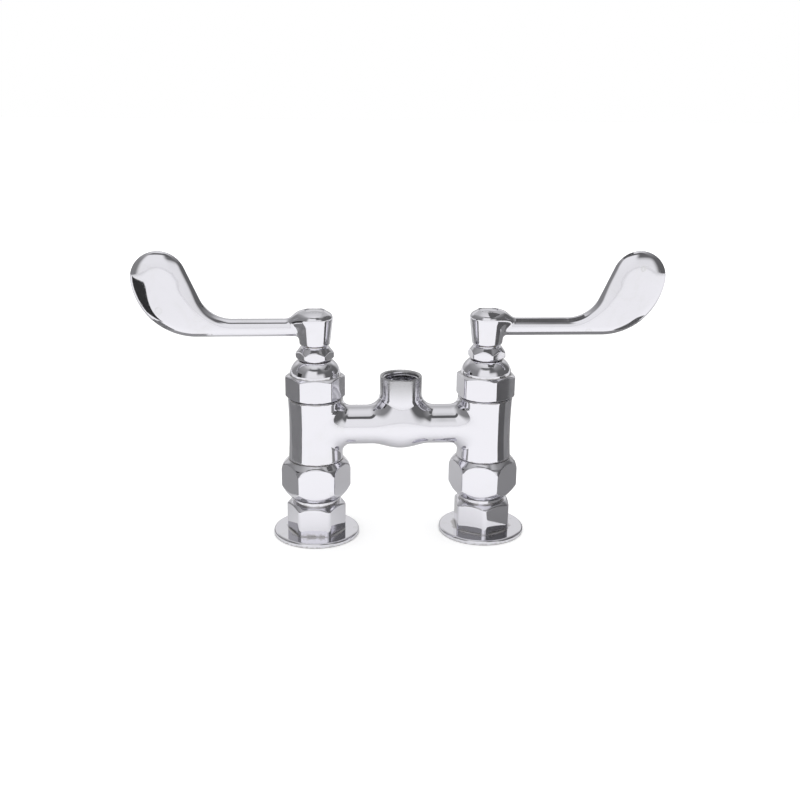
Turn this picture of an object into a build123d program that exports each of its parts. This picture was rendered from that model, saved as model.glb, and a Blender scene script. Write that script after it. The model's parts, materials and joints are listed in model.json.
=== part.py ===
from build123d import *
import os
from math import cos, radians, sin, sqrt, tan

# A deck mounted mixing tap of the bridge pattern, without its spout. Sizes are in millimetres.
# The origin lies on the deck, midway between the two inlets. +X is to the user's right,
# -Y is towards the user and +Z is up. Hot is the left column and cold is the right one.

# Overall layout
inlet_centres = 101.6
bridge_above_column_foot = 20.7
column_above_bridge = 17.3
outlet_above_bridge = 30.4

# Clearances
thread_clearance = 0.05
seat_gap = 0.2
running_clearance = 0.05
body_gap = 0.5

# Flanged inlet
flange_radius = 26.08
flange_thickness = 3.0
flange_edge_round = 1.4
inlet_hex_flats = 31.75
inlet_hex_height = 18.0
inlet_hex_round = 17.8
inlet_hex_chamfer = 2.2
inlet_neck_radius = 13.3
inlet_neck_shown = 3.2
inlet_collar_radius = 15.3
inlet_collar_height = 4.0
inlet_thread_radius = 9.13
inlet_thread_depth = 16.0
inlet_bore_radius = 7.5
gasket_outer_radius = 22.0
gasket_inner_radius = 13.0
gasket_thickness = 1.5

# Union between inlet and column
coupling_nut_flats = 36.5
coupling_nut_height = 24.2
coupling_nut_floor = 3.3
coupling_nut_foot_radius = 15.2
coupling_nut_foot_rise = 6.8
coupling_nut_head_radius = 16.6
coupling_nut_head_rise = 7.2
coupling_nut_opening_clearance = 0.25
coupling_nut_head_bulge = 0.62
coupling_nut_head_bulge_height = 0.4
union_thread_radius = 15.6
union_washer_outer_radius = 14.6
union_washer_thickness = 2.0

# Body casting
column_foot_radius = 16.35
column_waist_radius = 15.7
column_head_radius = 16.4
column_bore_radius = 11.1
column_inlet_bore_radius = 8.5
seat_below_bridge = 13.3
gallery_radius = 12.6
gallery_height = 13.0
spigot_radius = 13.6
spigot_height = 10.4
arm_radius = 11.75
arm_bore_radius = 7.0
arm_fillet = 5.3
outlet_swell = 0.75
outlet_draft = 0.1
outlet_draft_height = 4.0
outlet_fillet = 8.0
outlet_thread_radius = 9.5
outlet_thread_depth = 16.0
outlet_mouth_chamfer = 0.8
seam_search_margin = 1.0

# Bonnet and packing nut
bonnet_hex_flats = 31.75
bonnet_hex_height = 14.0
bonnet_hex_round = 17.7
bonnet_hex_chamfer = 1.2
hex_face_cut = 0.4
bonnet_dome_radius = 15.0
bonnet_dome_round = 10.0
bonnet_top_above_hex = 8.7
packing_nut_flats = 20.0
packing_nut_height = 7.8
packing_nut_round = 11.3
packing_nut_foot_chamfer = 1.8
packing_nut_head_chamfer = 3.6
packing_nut_collar_radius = 7.3
packing_nut_collar_height = 0.8
packing_washer_thickness = 2.4
packing_washer_radius = 7.2

# Cartridge
sleeve_clearance = 0.1
sleeve_flange_radius = 12.9
sleeve_flange_thickness = 2.0
sleeve_neck_radius = 7.4
sleeve_neck_height = 13.0
sleeve_chamber_radius = 9.5
sleeve_foot_gap = 1.0
window_count = 4
window_width = 7.0
window_height = 8.0
sleeve_oring_section = 1.24
sleeve_oring_above_bridge = 15.0
seat_seal_thickness = 3.2
seat_seal_bore_radius = 6.6
disc_thickness = 3.0
disc_clearance = 0.1
disc_port_outer_radius = 7.4
disc_port_inner_radius = 2.2
disc_port_angle = 76.0
disc_lug_width = 3.0
disc_lug_reach = 0.9
fixed_disc_turn = 90.0

# Stem
stem_shaft_radius = 5.0
stem_body_radius = 6.95
stem_driver_radius = 4.0
stem_shoulder_thickness = 3.5
stem_shoulder_radius = 9.2
stem_tang_width = 3.0
stem_tang_height = 1.1
stem_arm_height = 2.0
tang_clearance = 0.1
chamber_height_above_discs = 14.6
thrust_washer_thickness = 0.8
stem_oring_section = 1.44
stem_oring_spacing = 5.0
spline_teeth = 16
spline_tip_radius = 4.85
spline_root_radius = 4.25
spline_length = 9.8
spline_clearance = 0.05
spline_tip_share = 0.3
spline_root_share = 0.7

# Handle
hub_foot_radius = 8.9
hub_head_radius = 11.1
hub_side_height = 18.4
hub_edge_round = 1.3
hub_crown_rise = 2.6
hub_web_thickness = 2.0
hub_pocket_radius = 5.6
hub_arm_flare = 8.0
hub_arm_flare_turn = 42.0
arm_rise = 5.1
arm_height = 10.5
handle_thickness = 8.6
handle_edge_round = 3.9
blade_back_radius = 36.7
blade_back_start = 67.9
blade_tip_radius = 16.0
blade_tip_turn = 7.5
blade_front_angle = 66.0
blade_root_radius = 20.0
screw_radius = 2.4
screw_length = 11.5
screw_head_radius = 4.3
screw_head_height = 2.6
screw_socket_flats = 3.0
screw_socket_share = 0.6
cap_clearance = 0.02
cap_skirt_thickness = 1.0

# Turn of each hexagon about its column, in degrees, as fitted in the photographed tap
hot_turns = {"inlet": -5.0, "coupling": 0.0, "bonnet": 0.0, "packing": 0.0}
cold_turns = {"inlet": -31.0, "coupling": -13.0, "bonnet": -20.0, "packing": -20.0}

# Heights that follow from the sizes above
inlet_hex_top = flange_thickness + inlet_hex_height
coupling_nut_bottom = inlet_hex_top + inlet_neck_shown
inlet_collar_bottom = coupling_nut_bottom + coupling_nut_floor + thread_clearance
inlet_top = inlet_collar_bottom + inlet_collar_height
casting_bottom = inlet_top + union_washer_thickness
coupling_nut_top = coupling_nut_bottom + coupling_nut_height
column_foot = coupling_nut_top + seat_gap
bridge_height = column_foot + bridge_above_column_foot
column_top = bridge_height + column_above_bridge
outlet_top = bridge_height + outlet_above_bridge
outlet_radius = arm_radius + outlet_swell
seat_height = bridge_height - seat_below_bridge
spigot_top = column_top + spigot_height
sleeve_flange_top = spigot_top + sleeve_flange_thickness
sleeve_neck_top = sleeve_flange_top + sleeve_neck_height
bonnet_bottom = column_top + seat_gap
bonnet_hex_top = bonnet_bottom + bonnet_hex_height
bonnet_top = bonnet_hex_top + bonnet_top_above_hex
packing_nut_bottom = bonnet_top + seat_gap
packing_nut_top = packing_nut_bottom + packing_nut_height
collar_top = packing_nut_top + packing_nut_collar_height
packing_washer_top = sleeve_neck_top + packing_washer_thickness
fixed_disc_bottom = seat_height + seat_seal_thickness
fixed_disc_top = fixed_disc_bottom + disc_thickness
moving_disc_bottom = fixed_disc_top + running_clearance
moving_disc_top = moving_disc_bottom + disc_thickness
chamber_top = moving_disc_top + chamber_height_above_discs
thrust_washer_top = chamber_top - running_clearance
stem_shoulder_top = thrust_washer_top - thrust_washer_thickness
stem_shoulder_bottom = stem_shoulder_top - stem_shoulder_thickness
stem_body_top = sleeve_flange_top - running_clearance
hub_bottom = collar_top + body_gap
spline_top = hub_bottom + body_gap + spline_length
hub_web_bottom = spline_top + seat_gap
hub_web_top = hub_web_bottom + hub_web_thickness
hub_side_top = hub_bottom + hub_side_height
hub_crown = hub_side_top + hub_crown_rise
handle_arm_bottom = hub_bottom + arm_rise
handle_arm_top = handle_arm_bottom + arm_height

os.makedirs("parts", exist_ok=True)


# Shared shapes, all on the Z axis


def disc(radius, low, high):
    return Pos(0, 0, low) * extrude(Circle(radius), high - low)


def ring(outer_radius, inner_radius, low, high):
    return Pos(0, 0, low) * extrude(Circle(outer_radius) - Circle(inner_radius), high - low)


def turned(*edges):
    """Revolve a closed outline of (radius, height) edges about the Z axis."""
    outline = Plane.XZ * make_face(Curve() + list(edges))
    return revolve(outline, Axis.Z)


def turned_polygon(points):
    return revolve(Plane.XZ * make_face(Polyline(points, close=True)), Axis.Z)


def hexagon(across_flats, low, high):
    outline = RegularPolygon(across_flats / 2, 6, major_radius=False)
    return Pos(0, 0, low) * extrude(outline, high - low)


def chamfered_hexagon(across_flats, low, high, corner_radius, low_chamfer, high_chamfer):
    """A hexagon whose corners are turned to a radius and chamfered at the ends."""
    flat = across_flats / 2
    envelope = turned_polygon([
        (0, low),
        (flat - hex_face_cut * low_chamfer, low),
        (corner_radius, low + low_chamfer),
        (corner_radius, high - high_chamfer),
        (flat - hex_face_cut * high_chamfer, high),
        (0, high),
    ])
    return hexagon(across_flats, low, high) & envelope


def o_ring(inner_radius, section, height):
    return Pos(0, 0, height) * Torus(inner_radius + section / 2, section / 2)


def spline_outline(tip_radius, root_radius, teeth):
    """A star of straight flanked teeth, as one closed polygon."""
    pitch = 360 / teeth
    tooth_corners = (
        (root_radius, -spline_root_share / 2),
        (tip_radius, -spline_tip_share / 2),
        (tip_radius, spline_tip_share / 2),
        (root_radius, spline_root_share / 2),
    )
    corners = []
    for tooth in range(teeth):
        for radius, share in tooth_corners:
            angle = radians(pitch * (tooth + share))
            corners.append((radius * cos(angle), radius * sin(angle)))
    return make_face(Polyline(corners, close=True))


def sector_port(low, high, turn):
    """Two opposite ports through a ceramic disc."""
    band = ring(disc_port_outer_radius, disc_port_inner_radius, low, high)
    reach = 2 * disc_port_outer_radius
    spread = reach * tan(radians(disc_port_angle / 2))
    wedge = make_face(Polyline([(0, 0), (reach, -spread), (reach, spread)], close=True))
    wedge = Pos(0, 0, low) * extrude(wedge, high - low)
    ports = [band & Rot(0, 0, turn) * wedge, band & Rot(0, 0, turn + 180) * wedge]
    return ports


# Body casting


def column_outside(x):
    foot = (column_foot_radius, column_foot)
    head = (column_head_radius, column_top)
    waist = (column_waist_radius, (column_foot + column_top) / 2)
    column = turned(
        Line((0, column_foot), foot),
        ThreePointArc(foot, waist, head),
        Line(head, (0, column_top)),
        Line((0, column_top), (0, column_foot)),
    )
    # The seam of the turned surface faces outwards, away from the crosspiece.
    outwards = 180 if x < 0 else 0
    return Pos(x, 0, 0) * Rot(0, 0, outwards) * column


def outlet_outside():
    """An upright boss that ends in a half ball on the axis of the crosspiece."""
    draft_low = outlet_top - outlet_draft_height
    top_radius = outlet_radius - outlet_draft
    ball_low = bridge_height - outlet_radius
    ball_side = (outlet_radius, bridge_height)
    slant = radians(45)
    ball_middle = (outlet_radius * cos(slant), bridge_height - outlet_radius * sin(slant))
    boss = turned(
        Line((0, outlet_top), (top_radius, outlet_top)),
        Line((top_radius, outlet_top), (outlet_radius, draft_low)),
        Line((outlet_radius, draft_low), ball_side),
        ThreePointArc(ball_side, ball_middle, (0, ball_low)),
        Line((0, ball_low), (0, outlet_top)),
    )
    return Rot(0, 0, 90) * boss


def arm_fillet_that_fits():
    """The fillet stops short of both ends of the column."""
    room = min(bridge_above_column_foot, column_above_bridge) - arm_radius - seat_gap
    return min(arm_fillet, room)


def seams_between(shell, x_low, x_high, top):
    """Edges that run round the crosspiece and lie between two places along it, on either side."""
    found = []
    for edge in shell.edges():
        box = edge.bounding_box()
        near = min(abs(box.min.X), abs(box.max.X))
        far = max(abs(box.min.X), abs(box.max.X))
        one_side = box.min.X * box.max.X > 0
        if one_side and near > x_low and far < x_high and box.size.Y > 1 and box.max.Z < top:
            found.append(edge)
    return found


def make_body_casting():
    half = inlet_centres / 2
    seam_top = bridge_height + arm_radius + seam_search_margin
    arms = Pos(-half, 0, bridge_height) * Rot(0, 90, 0) * extrude(Circle(arm_radius), inlet_centres)
    shell = column_outside(-half) + column_outside(half) + arms
    column_seams = seams_between(shell, outlet_radius, half, seam_top)
    shell = fillet(column_seams, arm_fillet_that_fits())
    shell = shell + outlet_outside()
    outlet_seams = seams_between(shell, seam_search_margin, outlet_radius + seam_search_margin, seam_top)
    shell = fillet(outlet_seams, outlet_fillet)
    for x in (-half, half):
        shell += Pos(x, 0, 0) * disc(union_thread_radius, casting_bottom, column_foot)
        shell += Pos(x, 0, 0) * disc(spigot_radius, column_top, spigot_top)
    waterway = Pos(-half, 0, bridge_height) * Rot(0, 90, 0) * extrude(Circle(arm_bore_radius), inlet_centres)
    shell -= waterway
    shell -= disc(arm_bore_radius, bridge_height, outlet_top)
    shell -= disc(outlet_thread_radius, outlet_top - outlet_thread_depth, outlet_top)
    shell -= outlet_mouth()
    for x in (-half, half):
        shell -= Pos(x, 0, 0) * column_inside()
    return shell


def outlet_mouth():
    wide = outlet_thread_radius + outlet_mouth_chamfer
    return turned_polygon([
        (0, outlet_top),
        (wide, outlet_top),
        (outlet_thread_radius, outlet_top - outlet_mouth_chamfer),
        (0, outlet_top - outlet_mouth_chamfer),
    ])


def column_inside():
    gallery_low = bridge_height - gallery_height / 2
    space = disc(column_inlet_bore_radius, casting_bottom, seat_height)
    space += disc(column_bore_radius, seat_height, spigot_top)
    space += disc(gallery_radius, gallery_low, gallery_low + gallery_height)
    return space


# Inlet and union


def make_flanged_inlet():
    edge_low = flange_thickness - flange_edge_round
    slant = radians(45)
    round_middle = (
        flange_radius - flange_edge_round * (1 - cos(slant)),
        edge_low + flange_edge_round * sin(slant),
    )
    flange = turned(
        Line((0, 0), (flange_radius, 0)),
        Line((flange_radius, 0), (flange_radius, edge_low)),
        ThreePointArc(
            (flange_radius, edge_low), round_middle, (flange_radius - flange_edge_round, flange_thickness)
        ),
        Line((flange_radius - flange_edge_round, flange_thickness), (0, flange_thickness)),
        Line((0, flange_thickness), (0, 0)),
    )
    boss = chamfered_hexagon(
        inlet_hex_flats, flange_thickness, inlet_hex_top, inlet_hex_round, 0.0, inlet_hex_chamfer
    )
    inlet = flange + boss
    inlet += disc(inlet_neck_radius, inlet_hex_top, inlet_collar_bottom)
    inlet += disc(inlet_collar_radius, inlet_collar_bottom, inlet_top)
    inlet -= disc(inlet_thread_radius, 0, inlet_thread_depth)
    inlet -= disc(inlet_bore_radius, 0, inlet_top)
    inlet -= ring(
        gasket_outer_radius + thread_clearance, gasket_inner_radius - thread_clearance, 0, gasket_thickness
    )
    return inlet


def make_deck_gasket():
    return ring(gasket_outer_radius, gasket_inner_radius, 0, gasket_thickness)


def make_union_washer():
    return ring(union_washer_outer_radius, column_inlet_bore_radius, inlet_top, casting_bottom)


def make_coupling_nut():
    corner = coupling_nut_flats / 2 / cos(radians(30))
    foot_top = coupling_nut_bottom + coupling_nut_foot_rise
    head_bottom = coupling_nut_top - coupling_nut_head_rise
    head_middle = (
        coupling_nut_head_radius + coupling_nut_head_bulge * (corner - coupling_nut_head_radius),
        coupling_nut_top - coupling_nut_head_bulge_height * coupling_nut_head_rise,
    )
    envelope = turned(
        Line((0, coupling_nut_bottom), (coupling_nut_foot_radius, coupling_nut_bottom)),
        Line((coupling_nut_foot_radius, coupling_nut_bottom), (corner, foot_top)),
        Line((corner, foot_top), (corner, head_bottom)),
        ThreePointArc((corner, head_bottom), head_middle, (coupling_nut_head_radius, coupling_nut_top)),
        Line((coupling_nut_head_radius, coupling_nut_top), (0, coupling_nut_top)),
        Line((0, coupling_nut_top), (0, coupling_nut_bottom)),
    )
    nut = hexagon(coupling_nut_flats, coupling_nut_bottom, coupling_nut_top) & envelope
    floor_top = coupling_nut_bottom + coupling_nut_floor
    nut -= disc(inlet_neck_radius + coupling_nut_opening_clearance, coupling_nut_bottom, floor_top)
    nut -= disc(union_thread_radius + thread_clearance, floor_top, coupling_nut_top)
    return nut


# Bonnet and packing nut


def make_bonnet():
    skirt = chamfered_hexagon(
        bonnet_hex_flats,
        bonnet_bottom,
        bonnet_hex_top,
        bonnet_hex_round,
        bonnet_hex_chamfer,
        bonnet_hex_chamfer,
    )
    centre = (bonnet_dome_radius - bonnet_dome_round, bonnet_hex_top)
    top_radius = centre[0] + sqrt(bonnet_dome_round**2 - bonnet_top_above_hex**2)
    middle_rise = bonnet_top_above_hex / 2
    middle = (centre[0] + sqrt(bonnet_dome_round**2 - middle_rise**2), bonnet_hex_top + middle_rise)
    dome = turned(
        Line((0, bonnet_hex_top), (bonnet_dome_radius, bonnet_hex_top)),
        ThreePointArc((bonnet_dome_radius, bonnet_hex_top), middle, (top_radius, bonnet_top)),
        Line((top_radius, bonnet_top), (0, bonnet_top)),
        Line((0, bonnet_top), (0, bonnet_hex_top)),
    )
    bonnet = skirt + dome
    bonnet -= disc(spigot_radius + thread_clearance, bonnet_bottom, sleeve_flange_top)
    bonnet -= disc(sleeve_neck_radius + thread_clearance, sleeve_flange_top, bonnet_top)
    return bonnet


def make_packing_nut():
    nut = chamfered_hexagon(
        packing_nut_flats,
        packing_nut_bottom,
        packing_nut_top,
        packing_nut_round,
        packing_nut_foot_chamfer,
        packing_nut_head_chamfer,
    )
    nut += disc(packing_nut_collar_radius, packing_nut_top, collar_top)
    nut -= disc(sleeve_neck_radius + thread_clearance, packing_nut_bottom, packing_washer_top)
    nut -= disc(stem_shaft_radius + running_clearance, packing_washer_top, collar_top)
    return nut


def make_packing_washer():
    bore = stem_shaft_radius + running_clearance
    return ring(packing_washer_radius, bore, sleeve_neck_top, packing_washer_top)


# Cartridge


sleeve_radius = column_bore_radius - sleeve_clearance
sleeve_bottom = seat_height + sleeve_foot_gap
disc_radius = sleeve_chamber_radius - disc_clearance
oring_height = bridge_height + sleeve_oring_above_bridge
groove_depth = sleeve_oring_section - sleeve_clearance + running_clearance


def make_cartridge_sleeve():
    sleeve = disc(sleeve_radius, sleeve_bottom, spigot_top)
    sleeve += disc(sleeve_flange_radius, spigot_top, sleeve_flange_top)
    sleeve += disc(sleeve_neck_radius, sleeve_flange_top, sleeve_neck_top)
    sleeve -= disc(sleeve_chamber_radius, sleeve_bottom, chamber_top)
    sleeve -= disc(stem_body_radius + running_clearance, chamber_top, sleeve_flange_top)
    sleeve -= disc(stem_shaft_radius + running_clearance, sleeve_flange_top, sleeve_neck_top)
    half_groove = sleeve_oring_section / 2 + running_clearance
    groove_low = oring_height - half_groove
    groove_high = oring_height + half_groove
    sleeve -= ring(sleeve_radius + 1, sleeve_radius - groove_depth, groove_low, groove_high)
    window = Pos(sleeve_radius, 0, bridge_height) * Box(2 * sleeve_radius, window_width, window_height)
    for turn in range(window_count):
        sleeve -= Rot(0, 0, 360 / window_count * (turn + 0.5)) * window
    notch_low = sleeve_bottom
    notch_high = fixed_disc_top + running_clearance
    notch = Box(
        2 * (disc_radius + disc_lug_reach + disc_clearance),
        disc_lug_width + disc_clearance,
        notch_high - notch_low,
    )
    sleeve -= Pos(0, 0, (notch_low + notch_high) / 2) * notch
    return sleeve


def make_cartridge_oring():
    return o_ring(sleeve_radius - groove_depth, sleeve_oring_section, oring_height)


def make_seat_seal():
    return ring(disc_radius, seat_seal_bore_radius, seat_height, fixed_disc_bottom)


def make_fixed_disc():
    plate = disc(disc_radius, fixed_disc_bottom, fixed_disc_top)
    lugs = Box(2 * (disc_radius + disc_lug_reach), disc_lug_width, disc_thickness)
    plate += Pos(0, 0, (fixed_disc_bottom + fixed_disc_top) / 2) * lugs
    for port in sector_port(fixed_disc_bottom, fixed_disc_top, fixed_disc_turn):
        plate -= port
    return plate


def make_moving_disc():
    plate = disc(disc_radius, moving_disc_bottom, moving_disc_top)
    slot_depth = stem_tang_height + tang_clearance
    slot = Box(2 * disc_radius, stem_tang_width + tang_clearance, slot_depth)
    plate -= Pos(0, 0, moving_disc_top - slot_depth / 2) * slot
    for port in sector_port(moving_disc_bottom, moving_disc_top, 0.0):
        plate -= port
    return plate


# Stem


def stem_oring_heights():
    middle = (chamber_top + sleeve_flange_top) / 2
    return [middle - stem_oring_spacing / 2, middle + stem_oring_spacing / 2]


def make_stem():
    foot = moving_disc_top + running_clearance
    stem = disc(stem_driver_radius, foot, stem_shoulder_bottom)
    tang = Box(2 * disc_port_outer_radius, stem_tang_width, stem_tang_height)
    arm = Box(2 * disc_port_outer_radius, stem_tang_width, stem_arm_height)
    stem += Pos(0, 0, foot + stem_arm_height / 2) * arm
    stem += Pos(0, 0, foot - stem_tang_height / 2) * tang
    stem += disc(stem_shoulder_radius, stem_shoulder_bottom, stem_shoulder_top)
    stem += disc(stem_body_radius, stem_shoulder_top, stem_body_top)
    stem += disc(stem_shaft_radius, stem_body_top, hub_bottom + body_gap)
    teeth = spline_outline(spline_tip_radius, spline_root_radius, spline_teeth)
    stem += Pos(0, 0, hub_bottom + body_gap) * extrude(teeth, spline_length)
    half_groove = stem_oring_section / 2 + running_clearance
    for height in stem_oring_heights():
        stem -= ring(
            stem_body_radius + 1,
            stem_body_radius - stem_oring_section,
            height - half_groove,
            height + half_groove,
        )
    stem -= disc(screw_radius + thread_clearance, hub_web_top - screw_length - body_gap, spline_top)
    return stem


def make_stem_orings():
    groove_radius = stem_body_radius - stem_oring_section
    rings = [o_ring(groove_radius, stem_oring_section, height) for height in stem_oring_heights()]
    return Compound(children=rings)


def make_thrust_washer():
    bore = stem_body_radius + thread_clearance
    return ring(stem_shoulder_radius, bore, stem_shoulder_top, thrust_washer_top)


# Handle, pointing along +X


def hub_outside():
    foot_low = (hub_foot_radius - hub_edge_round, hub_bottom)
    foot_side = (hub_foot_radius, hub_bottom + hub_edge_round)
    head_side = (hub_head_radius, hub_side_top - hub_edge_round)
    head_top = (hub_head_radius - hub_edge_round, hub_side_top)
    slant = radians(45)
    inset = hub_edge_round * (1 - sin(slant))
    crown_radius = (head_top[0] ** 2 + hub_crown_rise**2) / (2 * hub_crown_rise)
    crown_middle_radius = head_top[0] / 2
    crown_middle = (
        crown_middle_radius,
        hub_crown - crown_radius + sqrt(crown_radius**2 - crown_middle_radius**2),
    )
    return turned(
        Line((0, hub_bottom), foot_low),
        ThreePointArc(foot_low, (hub_foot_radius - inset, hub_bottom + inset), foot_side),
        Line(foot_side, head_side),
        ThreePointArc(head_side, (hub_head_radius - inset, hub_side_top - inset), head_top),
        ThreePointArc(head_top, crown_middle, (0, hub_crown)),
        Line((0, hub_crown), (0, hub_bottom)),
    )


def arc_points(centre, radius, start, end):
    """Start, middle and end of an arc, from its angles in degrees."""
    angles = [radians(a) for a in (start, (start + end) / 2, end)]
    return [(centre[0] + radius * cos(a), centre[1] + radius * sin(a)) for a in angles]


def blade_outline():
    """Side view of arm and blade: a straight arm, a round back, a round tip and a hollow front."""
    back_centre = (blade_back_start, handle_arm_bottom + blade_back_radius)
    back = arc_points(back_centre, blade_back_radius, -90, -blade_tip_turn)
    offset = blade_back_radius - blade_tip_radius
    tip_centre = (
        back_centre[0] + offset * cos(radians(blade_tip_turn)),
        back_centre[1] - offset * sin(radians(blade_tip_turn)),
    )
    tip = arc_points(tip_centre, blade_tip_radius, -blade_tip_turn, blade_front_angle + 90)
    slope = tan(radians(blade_front_angle))
    corner_x = tip[2][0] - (tip[2][1] - handle_arm_top) / slope
    tangent = blade_root_radius * tan(radians(blade_front_angle / 2))
    root_centre = (corner_x - tangent, handle_arm_top + blade_root_radius)
    root = arc_points(root_centre, blade_root_radius, blade_front_angle - 90, -90)
    flare_centre = (hub_head_radius + hub_arm_flare, handle_arm_top + hub_arm_flare)
    flare = arc_points(flare_centre, hub_arm_flare, -90, -90 - hub_arm_flare_turn)
    edges = [
        Line((0, handle_arm_bottom), back[0]),
        ThreePointArc(*back),
        ThreePointArc(*tip),
        Line(tip[2], root[0]),
        ThreePointArc(*root),
        Line(root[2], flare[0]),
        ThreePointArc(*flare),
        Line(flare[2], (0, flare[2][1])),
        Line((0, flare[2][1]), (0, handle_arm_bottom)),
    ]
    return make_face(Curve() + edges)


def make_handle():
    blade = extrude(Plane.XZ * blade_outline(), handle_thickness / 2, both=True)
    rims = [e for e in blade.edges() if abs(abs(e.center().Y) - handle_thickness / 2) < 0.01]
    blade = fillet(rims, handle_edge_round)
    handle = hub_outside() + blade
    socket_tip = spline_tip_radius + spline_clearance
    socket_root = spline_root_radius + spline_clearance
    socket = spline_outline(socket_tip, socket_root, spline_teeth)
    handle -= Pos(0, 0, hub_bottom) * extrude(socket, hub_web_bottom - hub_bottom)
    handle -= disc(stem_shaft_radius + spline_clearance, hub_bottom, hub_bottom + body_gap + spline_clearance)
    handle -= disc(screw_radius + 2 * thread_clearance, hub_web_bottom, hub_web_top)
    handle -= disc(hub_pocket_radius, hub_web_top, hub_crown)
    return handle


def make_handle_screw():
    screw = disc(screw_radius, hub_web_top - screw_length, hub_web_top)
    screw += disc(screw_head_radius, hub_web_top, hub_web_top + screw_head_height)
    socket_depth = screw_head_height * screw_socket_share
    head_top = hub_web_top + screw_head_height
    screw -= hexagon(screw_socket_flats, head_top - socket_depth, head_top)
    return screw


def make_index_cap():
    plug_radius = hub_pocket_radius - cap_clearance
    plug_low = hub_web_top + screw_head_height + body_gap
    head_radius = hub_head_radius - hub_edge_round
    crown_radius = (head_radius**2 + hub_crown_rise**2) / (2 * hub_crown_rise)
    crown_centre = hub_crown - crown_radius
    plug = disc(plug_radius, plug_low, hub_crown) & Pos(0, 0, crown_centre) * Sphere(crown_radius)
    hollow_top = hub_crown - 2 * cap_skirt_thickness
    plug -= disc(plug_radius - cap_skirt_thickness, plug_low, hollow_top)
    return plug


# Every piece, with its place on each side

makers = {
    "flanged_inlet": make_flanged_inlet,
    "deck_gasket": make_deck_gasket,
    "union_washer": make_union_washer,
    "coupling_nut": make_coupling_nut,
    "bonnet": make_bonnet,
    "packing_nut": make_packing_nut,
    "packing_washer": make_packing_washer,
    "cartridge_sleeve": make_cartridge_sleeve,
    "cartridge_oring": make_cartridge_oring,
    "seat_seal": make_seat_seal,
    "fixed_disc": make_fixed_disc,
    "moving_disc": make_moving_disc,
    "stem": make_stem,
    "stem_orings": make_stem_orings,
    "thrust_washer": make_thrust_washer,
    "handle": make_handle,
    "handle_screw": make_handle_screw,
    "index_cap": make_index_cap,
}
turning_pieces = {
    "flanged_inlet": "inlet",
    "coupling_nut": "coupling",
    "bonnet": "bonnet",
    "packing_nut": "packing",
}
sides = (
    ("hot", -inlet_centres / 2, 180.0, hot_turns),
    ("cold", inlet_centres / 2, 0.0, cold_turns),
)
handle_pieces = ("moving_disc", "stem", "handle", "handle_screw", "index_cap")

export_step(make_body_casting(), "parts/body_casting.step")
for piece, maker in makers.items():
    shape = maker()
    for side, x, facing, turns in sides:
        turn = turns[turning_pieces[piece]] if piece in turning_pieces else 0.0
        if piece in handle_pieces:
            turn = facing
        placed = Pos(x, 0, 0) * Rot(0, 0, turn) * shape
        export_step(placed, f"parts/{side}_{piece}.step")
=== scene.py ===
import json
from math import ceil, cos, hypot, pi, radians, sin, sqrt, tan

import bpy
import numpy as np
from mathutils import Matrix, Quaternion, Vector


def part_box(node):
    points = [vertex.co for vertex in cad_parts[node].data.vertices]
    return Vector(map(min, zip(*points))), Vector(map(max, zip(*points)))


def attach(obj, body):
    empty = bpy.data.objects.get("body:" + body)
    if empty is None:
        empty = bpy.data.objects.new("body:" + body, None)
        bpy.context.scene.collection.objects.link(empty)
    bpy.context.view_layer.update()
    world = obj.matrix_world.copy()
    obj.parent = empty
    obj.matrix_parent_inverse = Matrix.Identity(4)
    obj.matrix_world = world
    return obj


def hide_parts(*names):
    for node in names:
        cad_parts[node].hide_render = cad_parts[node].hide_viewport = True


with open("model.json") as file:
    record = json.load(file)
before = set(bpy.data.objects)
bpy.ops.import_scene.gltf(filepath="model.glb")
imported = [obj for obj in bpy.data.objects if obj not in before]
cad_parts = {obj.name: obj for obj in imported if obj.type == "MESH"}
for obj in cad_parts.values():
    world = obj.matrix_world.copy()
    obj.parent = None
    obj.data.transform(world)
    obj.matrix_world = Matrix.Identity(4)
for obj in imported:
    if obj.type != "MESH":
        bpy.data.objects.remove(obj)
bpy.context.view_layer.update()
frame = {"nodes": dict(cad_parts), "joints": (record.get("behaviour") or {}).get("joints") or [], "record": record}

# A deck mounted bridge mixing tap, dressed in polished chrome. Shapes are worked out in
# millimetres and scaled to metres when a mesh is made. Heights come from the frame.

MM = 0.001
SIDES = ("hot", "cold")


def span(node):
    """Lowest and highest point of a node, in millimetres."""
    low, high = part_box(node)
    return low.z / MM, high.z / MM


def radius_of(node):
    """Half the width of a round node, in millimetres."""
    low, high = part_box(node)
    return (high.y - low.y) / 2 / MM


column_x = {joint["name"].split("_")[0]: joint["pos_m"][0] / MM for joint in frame["joints"]}
half_centres = column_x["cold"]

# Heights read from the frame
inlet_high = span("hot_flanged_inlet")[1]
gasket_high = span("hot_deck_gasket")[1]
nut_low, nut_high = span("hot_coupling_nut")
casting_low, outlet_top = span("body_casting")
bonnet_low, bonnet_high = span("hot_bonnet")
packing_low, packing_high = span("hot_packing_nut")
packing_inner_top = span("hot_packing_washer")[1]
handle_low, handle_high = span("hot_handle")
stem_high = span("hot_stem")[1]
screw_high = span("hot_handle_screw")[1]
cap_low, cap_high = span("hot_index_cap")

# Small distances that several pieces share
close_fit = 0.1
hex_cut_margin = 0.01
overlap = 1.0
bore_overrun = 5.0

# Sizes of the flanged inlet and its gasket
flange_radius = radius_of("hot_flanged_inlet")
flange_thickness = 3.0
inlet_hex_flats = 31.75
inlet_hex_round = 17.8
inlet_hex_low = flange_thickness + 0.03
inlet_hex_top = 21.0
inlet_hex_chamfer = 2.2
inlet_hex_top_radius = 15.0
inlet_neck_radius = 13.3
inlet_collar_radius = 15.3
inlet_collar_low = nut_low + 3.35
inlet_bore_radius = 7.5
gasket_outer_radius = 22.05
gasket_inner_radius = 12.95

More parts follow.
